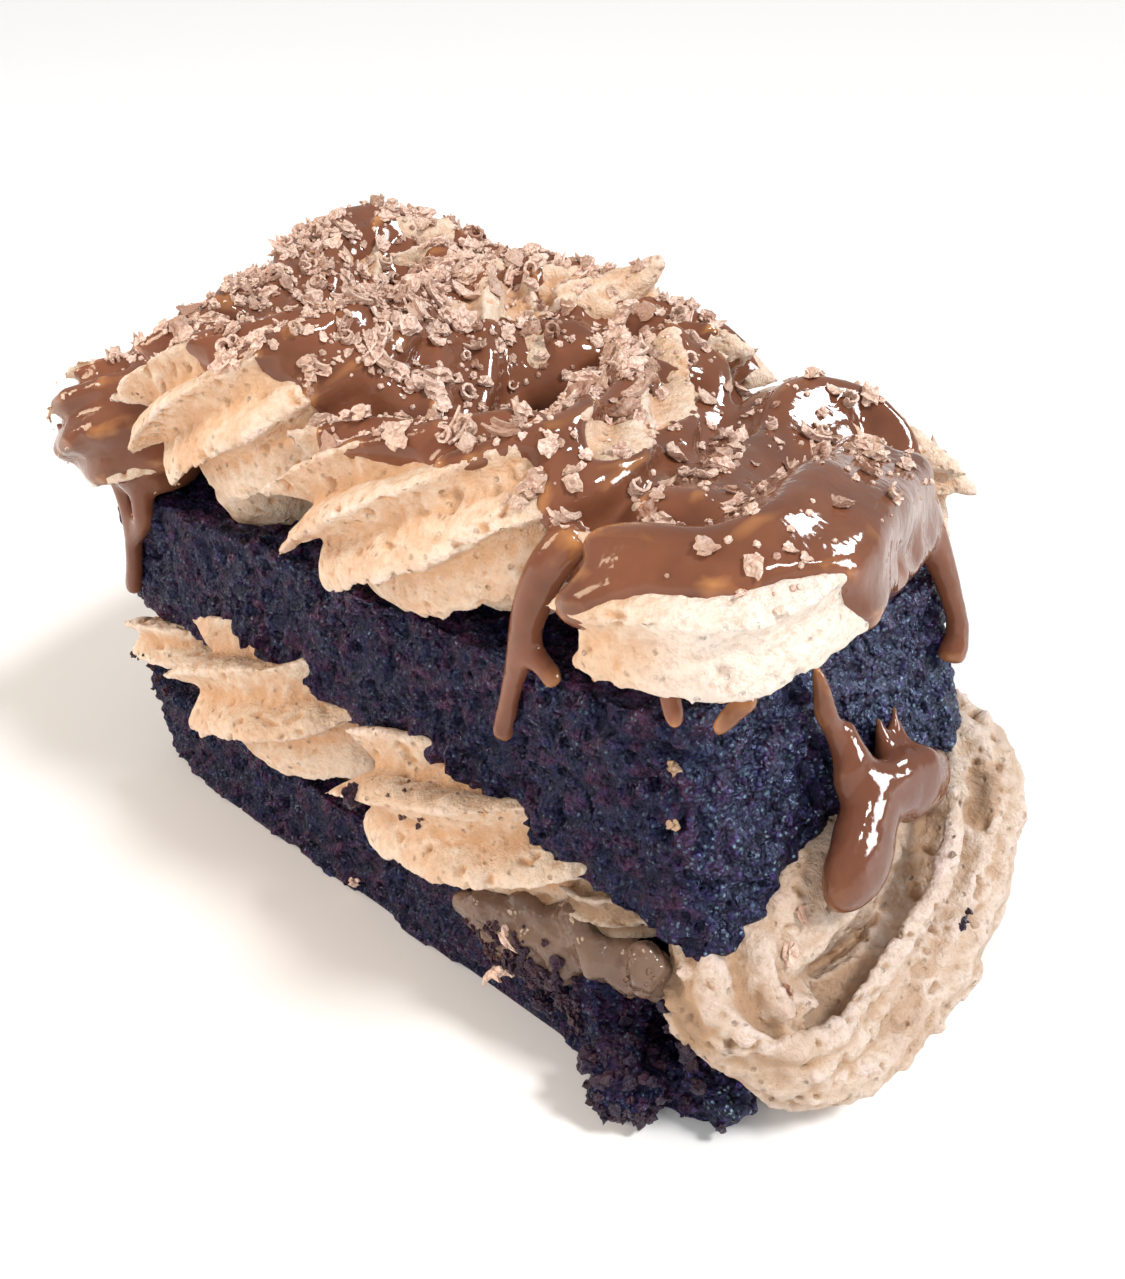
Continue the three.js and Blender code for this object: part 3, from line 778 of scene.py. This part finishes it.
def wet_material(name, colour, roughness, streak, depth, thin=None):
    """A glossy poured finish: custard or glaze, which looks lighter where it is thin, partly from the
    cream beneath and partly as painted light shining through, and, for the glaze, darker low down on
    the faces as painted shade.
    """
    finish, shader, place = new_finish(name)
    broad = speckle(place, 0.009, 3)
    shade = ramp(broad, (0.35, tone(colour, 0.82)), (0.65, tone(colour, 1.12)))
    if thin:
        # Lighter where thin: partly the cream beneath, partly painted light shining through
        crest = ramp(own_value(place, "crest"), (0.68, 0), (0.92, 0.85))
        shade = mixed(crest, shade, thin)
        # Painted shade: the glaze darker low down on the faces
        low = ramp(rising(place, "Z", 0.05, 0.07), (0, 0.8), (1, 0))
        shade = mixed(low, shade, tone(colour, 0.72, 1.1))
    dress(shader, {
        "Base Color": shade, "Roughness": roughness, "Normal": bump(speckle(place, streak, 2), depth),
        "Specular IOR Level": 0.32, "Subsurface Weight": 0.06,
        "Subsurface Radius": (1.0, 0.45, 0.25), "Subsurface Scale": 0.001,
    })
    return finish


def crumb_material(name, colour):
    """Loose crumbs, each from dark to tan by its own tint."""
    finish, shader, place = new_finish(name)
    dark = tone(colour, 0.5, 0.6)
    brown = (colour[0] * 2, colour[1] * 1.2, colour[2] * 0.3)
    shade = ramp(own_value(place, "tint"), (0, dark), (0.35, brown), (0.9, TAN_CRUMB))
    rough = bump(speckle(place, 0.0006, 3), 0.0006)
    dress(shader, {"Base Color": shade, "Roughness": 0.4, "Normal": rough, "Specular IOR Level": 0.4})
    return finish


def flake_material(name, colour):
    """Dusty chocolate, each flake from dark to light by its own tint."""
    finish, shader, place = new_finish(name)
    brown = (colour[0] * 0.52, colour[1] * 0.36, colour[2] * 0.3)
    own = ramp(own_value(place, "tint"), (0, brown), (0.3, colour), (1, tone(colour, 1.25, 1.06)))
    dust = speckle(place, 0.0008, 4, 0.7)
    shade = mixed(ramp(dust, (0.4, 0.6), (0.55, 0)), own, brown)
    rough = bump(speckle(place, 0.0005, 3), 0.0004)
    dress(shader, {"Base Color": shade, "Roughness": 0.55, "Normal": rough})
    return finish


def serve(piece, finish, slot, *nodes):
    """Gives a piece its finish and puts it on the cake's body, in place of its solids if any."""
    piece.data.materials.clear()
    piece.data.materials.append(finish)
    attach(piece, "root")
    if nodes:
        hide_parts(*nodes)


# The sponges


def slab(name, bottom, top, lean, cuts):
    """A block that is shaped to the slab's form, with crags on its four sides, in millimetres."""
    sizes = bpy.context.scene.cake_sizes
    half_l, half_w = sizes.length / MM / 2, sizes.width / MM / 2
    bpy.ops.mesh.primitive_cube_add(size=2)
    piece = added(name)
    edit_whole(piece, bpy.ops.mesh.subdivide, number_cuts=cuts)
    u, v, w = points_of(piece).T
    w = (w + 1) / 2
    drawn_in, rim = 3, 0.999
    x = u * half_l * (1 - drawn_in / half_l * v**8)
    y = v * half_w * (1 - drawn_in / half_w * u**8)
    z = bottom(x, y) * (1 - w) + top(x, y) * w
    crag = 1.1 * grain(np.column_stack([x, y, z + 76.5]), 8.5)
    x = x + lean(np.sign(u), w) * np.abs(u) ** 6
    x += np.where(np.abs(u) > rim, np.sign(u) * crag, 0)
    y += np.where(np.abs(v) > rim, np.sign(v) * crag, 0)
    set_points(piece, np.column_stack([x, y, z]) * MM)
    return piece


def level(height):
    """A flat top or bottom for a slab."""
    return lambda x, y: height + 0 * x


def upper_bottom(x, y):
    """The arched underside of the upper sponge, higher behind and sagging at the front right."""
    share = (x + HALF_LENGTH) / (2 * HALF_LENGTH)
    arch = 4 * np.maximum(0, np.sin(share * math.pi))
    sag = 3.5 * smooth_step(x, 45, HALF_LENGTH) * smooth_step(-y, -15, HALF_WIDTH)
    return 35 - 2 * share + arch + 8 * (y + HALF_WIDTH) / (2 * HALF_WIDTH) - sag


def upper_top(x, y):
    """The top of the upper sponge, which climbs to the right."""
    return 61 + 7 * (x + HALF_LENGTH) / (2 * HALF_LENGTH)


def lower_lean(sign, w):
    """How far the lower sponge's ends lie to the right, at shares w of its height."""
    return np.where(sign < 0, -5 * w, -5)


def upper_lean(sign, w):
    """The same for the upper sponge."""
    return np.where(sign > 0, -6 * w, -1.5)


def crumb_finish(piece, seed):
    """Opens the sponge's skin into pores and crumbs."""
    sizes = bpy.context.scene.cake_sizes
    one_skin(piece, sizes.crumb_grain)
    spots = points_of(piece)
    mm = spots / MM + seed * 61.0
    pores = np.maximum(0, grain(mm + 140, 2.6) - 0.2)
    shift = sizes.crumb_depth / MM * (0.55 * layered(mm, SPONGE_LUMPS) - 1.1 * pores)
    above_floor = smooth_step(spots[:, 2], 0.0003, 0.0012)
    push_skin(piece, shift * above_floor)
    mark_crests(piece, SPONGE_CRESTS)
    smooth_shade(piece)


class CAKE_OT_sponges(bpy.types.Operator):
    """Bake the two sponges, with the broken corner and its rubble"""

    bl_idname = "cake.sponges"
    bl_label = "Sponges"

    def execute(self, context):
        sizes = context.scene.cake_sizes
        finish = sponge_material("dark_crumb", context.scene.cake_colours.sponge)
        lower = slab("lower_crumb", level(0), level(sizes.lower_top / MM), lower_lean, 24)
        cut_away(lower, lump(BREAK, 0.35))
        lower = joined("lower_crumb", [lower] + [lump(spot, 0.35) for spot in RUBBLE])
        crumb_finish(lower, 1)
        set_down(lower)
        upper = slab("upper_crumb", upper_bottom, upper_top, upper_lean, 24)
        crumb_finish(upper, 2)
        for piece, node in ((lower, "lower_sponge"), (upper, "upper_sponge")):
            serve(piece, finish, "sponge", node)
        return {"FINISHED"}


class CAKE_OT_custard(bpy.types.Operator):
    """Spread the custard layer, with the smears where the corner broke off"""

    bl_idname = "cake.custard"
    bl_label = "Custard"

    def execute(self, context):
        sizes = context.scene.cake_sizes
        low, high = level(sizes.lower_top / MM - 0.5), level(sizes.custard_top / MM)
        layer = slab("custard", low, high, lower_lean, 16)
        spots = points_of(layer)
        front, left = smooth_step(-spots[:, 1], 0.02, 0.033), 1 - smooth_step(spots[:, 0], 0.012, 0.03)
        spots[:, 1] += 5 * front * left * MM
        set_points(layer, spots)
        custard = joined("custard", [layer] + [lump(spot, 0.35) for spot in SMEARS])
        one_skin(custard, 0.0006)
        calm_down(custard, 12)
        push_skin(custard, layered(points_of(custard) / MM, CUSTARD_WAVES))
        smooth_shade(custard)
        colour = context.scene.cake_colours.custard
        finish = wet_material("custard_gloss", colour, 0.13, 0.0026, 0.0009)
        serve(custard, finish, "custard", "custard_layer")
        return {"FINISHED"}


class CAKE_OT_filling(bpy.types.Operator):
    """Pipe the strands of cream between the sponges"""

    bl_idname = "cake.filling"
    bl_label = "Filling cream"

    def execute(self, context):
        sizes = context.scene.cake_sizes
        colour = context.scene.cake_colours.cream
        finish = cream_material("filling_cream", colour, WARM_CREAM_AND_SHADE)
        for n, size in enumerate(FILL_STRANDS, 1):
            piece = strand(f"filling_{n}", size, sizes.flute)
            cream_finish(piece, sizes.cream_grain, n)
            serve(piece, finish, "cream", f"filling_cream_{n}")
        rope(REMNANT, sizes.flute, rings=70, roll=-0.2, twist=0.9, crown=2, torn=0.5)
        scrap = added("filling_4")
        cream_finish(scrap, sizes.cream_grain, 9)
        # Partly a real smear of custard, partly painted shade: a darker copy of the cream
        finish = cream_material("smeared_and_shaded_cream", tone(colour, 0.66), WARM_SMEAR_AND_SHADE)
        serve(scrap, finish, "cream", "filling_cream_4")
        return {"FINISHED"}


class CAKE_OT_end_swirl(bpy.types.Operator):
    """Pipe the bend of cream that has slid out at the right end"""

    bl_idname = "cake.end_swirl"
    bl_label = "End swirl"

    def execute(self, context):
        sizes = context.scene.cake_sizes
        colour = context.scene.cake_colours.cream
        skirt = rope(END_SKIRT, 0.07, rings=160, ridges=11, twist=0.6, crown=2, torn=1.6)
        crest = rope(END_CREST, 0.1, rings=120, sides=48, ridges=5, torn=0.3)
        tongue = rope(END_TONGUE, 0.1, rings=90, ridges=6, torn=0.6)
        fold = rope(END_FOLD, 0.1, rings=60, sides=32, ridges=5, torn=0.3)
        swirl = joined("end_swirl", [skirt, crest, tongue, fold, lump(END_CORE)])
        one_skin(swirl, sizes.cream_grain)
        cut_away(swirl, rope(END_GROOVE, 0, rings=60, sides=24))
        for way, depth in END_DENTS:
            press(swirl, way, depth)
        cream_finish(swirl, sizes.cream_grain, 5, 1.35, END_CRESTS, END_SHADE)
        set_down(swirl)
        # Painted shade: the end swirl takes a darker copy of the cream
        finish = cream_material("end_cream_shaded_finish", tone(colour, 0.79, 1.05), WARM_END_AND_SHADE)
        serve(swirl, finish, "cream", "end_cream")
        return {"FINISHED"}


class CAKE_OT_top_cream(bpy.types.Operator):
    """Pipe the four strands of cream on top"""

    bl_idname = "cake.top_cream"
    bl_label = "Top cream"

    def execute(self, context):
        sizes = context.scene.cake_sizes
        colour = context.scene.cake_colours.cream
        # Painted light: the top cream turns paler at the right end
        finish = cream_material("top_cream_finish", colour, WARM_CREAM_AND_SHADE, 0.75)
        for n, size in enumerate(TOP_STRANDS, 1):
            piece = strand(f"top_{n}", size, sizes.flute, coated=sizes.flute * 0.6, bed=True)
            if n == 3:
                piece = joined("top_3", [piece] + [rope(way, 0.1, rings=50) for way in PLUGS])
            cream_finish(piece, sizes.cream_grain, 10 + n)
            serve(piece, finish, "cream", f"top_cream_{n}")
        return {"FINISHED"}


def glazed(mm):
    """How far inside the glaze's outline points lie, in millimetres."""
    x, y, z = mm.T
    front = y + z - np.interp(x, *np.array(FRONT_EDGE).T)
    back = z - y - 48
    no_edge = 200
    right = np.where(y < -14, no_edge, z - x + 12)
    inside = 0.7 * np.minimum(np.minimum(front, back), right)
    inside += layered(mm, GLAZE_EDGE)
    for *ends, r in BARE:
        start, stop = np.array(ends[:3]), np.array(ends[3:])
        span = stop - start
        share = np.clip((mm - start) @ span / (span @ span), 0, 1)
        away = np.linalg.norm(mm - start - share[:, None] * span, axis=1)
        inside = np.minimum(inside, away - r + 1.2 * grain(mm + 60, 3.5))
    side = smooth_step(x, 50, 62) * smooth_step(-y, -16, -12)
    floor = 62 + side * (7 + 9 * smooth_step(-y, 2, 8))
    return np.minimum(inside, z - floor)


def thicker(x):
    """Where the glaze lies thicker and smoother: 0 on the left and 1 on the right strand."""
    return smooth_step(x, 40, 52)


def poured_sheet():
    """The skin of the top cream within the glaze's outline, lifted off and given a thickness."""
    only(*(bpy.data.objects[f"top_{n}"] for n in range(1, 5)))
    bpy.ops.object.duplicate()
    sheet = joined("glaze", list(bpy.context.selected_objects))
    one_skin(sheet, 0.0009)
    thick = sheet.vertex_groups.new(name="thick")
    for n, share in enumerate(thicker(points_of(sheet)[:, 0] / MM)):
        if share > 0:
            thick.add([n], float(share), "REPLACE")
    calm_down(sheet, 14)
    calm_down(sheet, 50, vertex_group="thick")
    mm = points_of(sheet) / MM
    inside = glazed(mm)
    edge = 1.6
    lift = (1.0 + 0.7 * thicker(mm[:, 0])) * smooth_step(inside, -0.5, edge)
    push_skin(sheet, lift - edge * smooth_step(-inside, 0.0, edge))
    only(sheet)
    bpy.ops.object.mode_set(mode="EDIT")
    bpy.ops.mesh.select_all(action="DESELECT")
    bpy.ops.object.mode_set(mode="OBJECT")
    sheet.data.vertices.foreach_set("select", inside < -edge)
    bpy.ops.object.mode_set(mode="EDIT")
    bpy.ops.mesh.delete(type="VERT")
    bpy.ops.object.mode_set(mode="OBJECT")
    return apply_step(sheet, "SOLIDIFY", thickness=0.0014, offset=-1, use_even_offset=False)


def poured_runs():
    """The runs on the faces and the pool at the right end, in one skin."""
    runs = [rope(way, 0, rings=40, sides=24) for way in DRIPS]
    runs = joined("runs", runs + [lump(spot) for spot in POOL])
    one_skin(runs, 0.0008)
    return calm_down(runs, 10)


class CAKE_OT_glaze(bpy.types.Operator):
    """Pour the glaze over the top cream and let it run down the faces"""

    bl_idname = "cake.glaze"
    bl_label = "Glaze"

    def execute(self, context):
        glaze = joined("glaze", [poured_sheet(), poured_runs()])
        one_skin(glaze, 0.0007)
        calm_down(glaze, 7)
        apply_step(glaze, "DECIMATE", ratio=0.45)
        mark_crests(glaze, GLAZE_CRESTS, THIN, 0.4)
        smooth_shade(glaze)
        colour = context.scene.cake_colours.glaze
        finish = wet_material("glaze_gloss", colour, 0.09, 0.003, 0.0002, THIN_GLAZE)
        serve(glaze, finish, "glaze")
        return {"FINISHED"}


def broken_flake(kind, rounds, knobs, flat):
    """A knobbly chip, a flat bent shard or a bit, a unit long."""
    bpy.ops.mesh.primitive_ico_sphere_add(subdivisions=rounds, radius=0.5)
    piece = added(kind)
    ball = points_of(piece)
    skin = layered(ball * 9 + 7 * len(kind), ((knobs, 0, 1.7), (0.25, 5, 0.8)), 1)
    spots = ball * [1, 0.8, flat] * skin[:, None]
    spots[:, 2] += (0.9 * spots[:, 0] ** 2 - 0.1) * (kind == "shard")
    set_points(piece, spots)
    if kind != "bit":
        apply_step(piece, "DECIMATE", ratio=0.35)
    return piece


def rolled_flake(kind):
    """A curl of shaved chocolate or a ribbed quill, a unit long."""
    long, wide = (13, 4) if kind == "curl" else (4, 8)
    bpy.ops.mesh.primitive_grid_add(x_subdivisions=long, y_subdivisions=wide, size=1)
    piece = added(kind)
    x, y, z = points_of(piece).T
    ragged = 0.12 * hashed(np.round(x * 20), np.round(y * 20), 3)
    if kind == "curl":
        angle = x * 5.4 + ragged
        r = 0.3 + 0.16 * x + 0.3 * ragged
        across = y * 0.5 + 0.6 * ragged + 0.1 * angle / 4
        x, y, z = r * np.cos(angle), r * np.sin(angle), across + 0.1
        thick = 0.13
    else:
        angle = y * 3.4
        r = 0.2 + 0.035 * np.abs(np.cos(angle * 4))
        x, y, z = x + ragged, r * np.sin(angle), -r * np.cos(angle) + 0.05
        z = z + 0.5 * x * x
        thick = 0.09
    set_points(piece, np.column_stack([x, y, z]))
    return apply_step(piece, "SOLIDIFY", thickness=thick, offset=0)


def flake(kind):
    """The model of one kind of flake."""
    broken = {"bit": (1, 0.45, 0.55), "chip": (3, 0.6, 0.55), "shard": (3, 0.35, 0.28)}
    return broken_flake(kind, *broken[kind]) if kind in broken else rolled_flake(kind)


def flake_density(x, y, z):
    """The share of tries that leave a flake at a place on top."""
    left = 1 - 0.8 * smooth_step(np.array(x), -4, 30)
    valley = 0.7 * math.exp(-(((x - 34 + 0.5 * (y + 20)) / 8) ** 2))
    front = smooth_step(np.array(y + z), 50, 62)
    clump = 0.75 + 0.5 * float(grain(np.array([[x, y, 3.0]]), 9.0)[0])
    return float((left + valley) * front * clump)


def trees_of(*names):
    """The skins of some pieces, to be searched for places on them."""
    seen = bpy.context.evaluated_depsgraph_get()
    return [BVHTree.FromObject(bpy.data.objects[name], seen) for name in names]


def scattered(name, model, places):
    """One joined piece with a copy of a model at each place: turn and size, spot and tint."""
    base = points_of(model)
    corners = [list(side.vertices) for side in model.data.polygons]
    bpy.data.objects.remove(model)
    spots = np.vstack([base @ turn.T + at for turn, at, tint in places])
    sides = [[c + n * len(base) for c in side] for n in range(len(places)) for side in corners]
    mesh = bpy.data.meshes.new(name)
    mesh.from_pydata(spots.tolist(), [], sides)
    shade = mesh.attributes.new("tint", "FLOAT", "POINT")
    shade.data.foreach_set("value", np.repeat([tint for turn, at, tint in places], len(base)))
    piece = bpy.data.objects.new(name, mesh)
    bpy.context.scene.collection.objects.link(piece)
    return piece


def nearest(trees, spot):
    """The nearest place on any of some skins, and the way that the skin faces there."""
    found = [tree.find_nearest(spot) for tree in trees]
    return min(found, key=lambda hit: hit[3])[:2]


class CAKE_OT_crumbs(bpy.types.Operator):
    """Scatter the loose crumbs round the broken corner and along the cut edges"""

    bl_idname = "cake.crumbs"
    bl_label = "Crumbs"

    def execute(self, context):
        trees = trees_of("lower_crumb", "upper_crumb", "custard", "filling_1", "filling_3",
                         "filling_4", "end_swirl")
        seeds = np.random.default_rng(5)
        places, small = [], 0.35
        for middle, spread, count, large, shade in CRUMBS:
            for _ in range(count):
                spot = Vector((np.array(middle) + seeds.normal(0, spread * 0.5, 3)) * MM)
                at, face = nearest(trees, spot)
                size = (small + (large - small) * seeds.uniform() ** 2) * MM
                turn = np.array(Euler(seeds.uniform(0, ROUND, 3)).to_matrix()) * size
                tint = shade + seeds.uniform(-0.1, 0.1)
                at = np.array(at + face * size * 0.2)
                at[2] = max(at[2], size * 0.75)
                places.append((turn, at, tint))
        bpy.ops.mesh.primitive_ico_sphere_add(subdivisions=2, radius=0.6)
        model = added("crumb")
        ball = points_of(model)
        set_points(model, ball * layered(ball * 9, LOOSE_CRUMB, 1)[:, None])
        piece = scattered("crumbs", model, places)
        serve(piece, crumb_material("loose_crumb", context.scene.cake_colours.sponge), "sponge")
        return {"FINISHED"}


def laid(spot, face, tilt, long, tint):
    """A flake's turn and size, its place just over the skin, and its tint."""
    turn = face.to_track_quat("Z", "Y").to_matrix() @ Euler(tilt).to_matrix()
    return np.array(turn) * long, np.array(spot + face * long * 0.16), tint


class CAKE_OT_flakes(bpy.types.Operator):
    """Scatter the chocolate flakes over the top, thickly on the left and sparsely on the right"""

    bl_idname = "cake.flakes"
    bl_label = "Flakes"

    def execute(self, context):
        tops = trees_of("top_1", "top_2", "top_3", "top_4", "glaze")
        seeds = np.random.default_rng(11)
        finish = flake_material("flake_dust", context.scene.cake_colours.flakes)
        placed = {kind: [] for kind in FLAKE_KINDS}
        for _ in range(FLAKE_TRIES):
            x, y = seeds.uniform(-84, 86), seeds.uniform(-42, 41)
            chance, kind, size, yaw, tip, side, tint = seeds.uniform(0, 1, 7)
            above = Vector((x * MM, y * MM, 0.2))
            hits = [tree.ray_cast(above, Vector((0, 0, -1))) for tree in tops]
            hits = [hit for hit in hits if hit[0] is not None]
            if not hits:
                continue
            spot, face = max(hits, key=lambda hit: hit[0].z)[:2]
            on_bare_cream = glazed(np.array([spot]) / MM)[0] < 0
            share = flake_density(x, y, spot.z / MM) * (0.45 if on_bare_cream else 1)
            if face.z < 0.35 or spot.z < 0.066 or chance > share:
                continue
            kind = FLAKE_KINDS[np.searchsorted(FLAKE_SHARES, kind)]
            long = {"bit": 0.4 + size, "curl": 2 + 1.6 * size, "quill": 2.4 + 2 * size}
            long = long.get(kind, 1.3 + 2.8 * size**3) * MM
            tilt = (0.7 * (tip - 0.5), 0.9 * (side - 0.5), yaw * ROUND)
            placed[kind].append(laid(spot, face, tilt, long, tint))
        skins = trees_of("custard", "lower_crumb", "crumbs", "end_swirl")
        for kind, middle, long, tint in FALLEN:
            spot, face = nearest(skins, Vector(middle) * MM)
            placed[kind].append(laid(spot, face, (0.3, 0.2, 0.9), long * MM, tint))
        for kind in FLAKE_KINDS:
            serve(scattered("flakes_" + kind, flake(kind), placed[kind]), finish, "flakes")
        return {"FINISHED"}


class CAKE_OT_stage(bpy.types.Operator):
    """Set the pale floor, the soft lights and the camera"""

    bl_idname = "cake.stage"
    bl_label = "Stage"

    def execute(self, context):
        scene = context.scene
        bpy.ops.mesh.primitive_circle_add(vertices=64, radius=20, fill_type="NGON")
        ground = added("ground")
        finish, shader, _ = new_finish("pale_ground")
        dress(shader, {"Base Color": tuple(scene.cake_colours.floor), "Roughness": 0.6})
        ground.data.materials.append(finish)
        scene.world = bpy.data.worlds.new("soft_room")
        scene.world.use_nodes = True
        nodes = scene.world.node_tree.nodes
        seen = nodes.new("ShaderNodeLightPath").outputs["Is Camera Ray"]
        glow = ramp(seen, (0, ROOM_GLOW), (1, ROOM_SEEN))
        dress(nodes["Background"], {"Color": (1, 1, 1), "Strength": glow})
        for kind, name, spot, size, power, colour in LIGHTS:
            bpy.ops.object.light_add(type=kind, location=spot)
            light = bpy.context.active_object
            light.name = name
            light.data.energy = power
            if kind == "SUN":
                light.data.angle = size
            else:
                light.data.size = size
            light.data.color = colour
            aim = Vector((0, 0, 0.05)) - Vector(spot)
            light.rotation_euler = aim.to_track_quat("-Z", "Y").to_euler()
            light.visible_diffuse = name not in ("window", "shine")
            light.visible_glossy = name != "front"
        bpy.ops.object.camera_add()
        camera = bpy.context.active_object
        camera.name = "camera"
        ahead = Vector(CAMERA_AHEAD).normalized()
        right = Vector(CAMERA_RIGHT).normalized()
        up = right.cross(ahead)
        tilt = math.radians(CAMERA_TILT)
        across = right * math.cos(tilt) - up * math.sin(tilt)
        raised = right * math.sin(tilt) + up * math.cos(tilt)
        turn = Matrix((across, raised, -ahead)).transposed()
        camera.matrix_world = Matrix.Translation(CAMERA_PLACE) @ turn.to_4x4()
        camera.data.sensor_width = 36
        camera.data.lens = CAMERA_LENS
        camera.data.clip_start = 0.01
        scene.camera = camera
        scene.view_settings.view_transform = "Standard"
        return {"FINISHED"}


class CAKE_PT_panel(bpy.types.Panel):
    """The cake's pieces, sizes and colours in the sidebar"""

    bl_idname = "CAKE_PT_panel"
    bl_label = "Chocolate custard cake"
    bl_space_type = "VIEW_3D"
    bl_region_type = "UI"
    bl_category = "Cake"

    def draw(self, context):
        for step in STEPS:
            self.layout.operator(step.bl_idname)
        for group in (context.scene.cake_sizes, context.scene.cake_colours):
            box = self.layout.box()
            for name in group.__annotations__:
                box.prop(group, name)


STEPS = (
    CAKE_OT_sponges,
    CAKE_OT_custard,
    CAKE_OT_filling,
    CAKE_OT_end_swirl,
    CAKE_OT_top_cream,
    CAKE_OT_glaze,
    CAKE_OT_crumbs,
    CAKE_OT_flakes,
    CAKE_OT_stage,
)
CLASSES = (CakeSizes, CakeColours, *STEPS, CAKE_PT_panel)


def register():
    for item in CLASSES:
        bpy.utils.register_class(item)
    bpy.types.Scene.cake_sizes = bpy.props.PointerProperty(type=CakeSizes)
    bpy.types.Scene.cake_colours = bpy.props.PointerProperty(type=CakeColours)


def unregister():
    del bpy.types.Scene.cake_colours
    del bpy.types.Scene.cake_sizes
    for item in reversed(CLASSES):
        bpy.utils.unregister_class(item)


def main():
    register()
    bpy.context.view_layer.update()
    for step in STEPS:
        getattr(bpy.ops.cake, step.bl_idname.split(".")[1])()


if __name__ == "__main__":
    main()
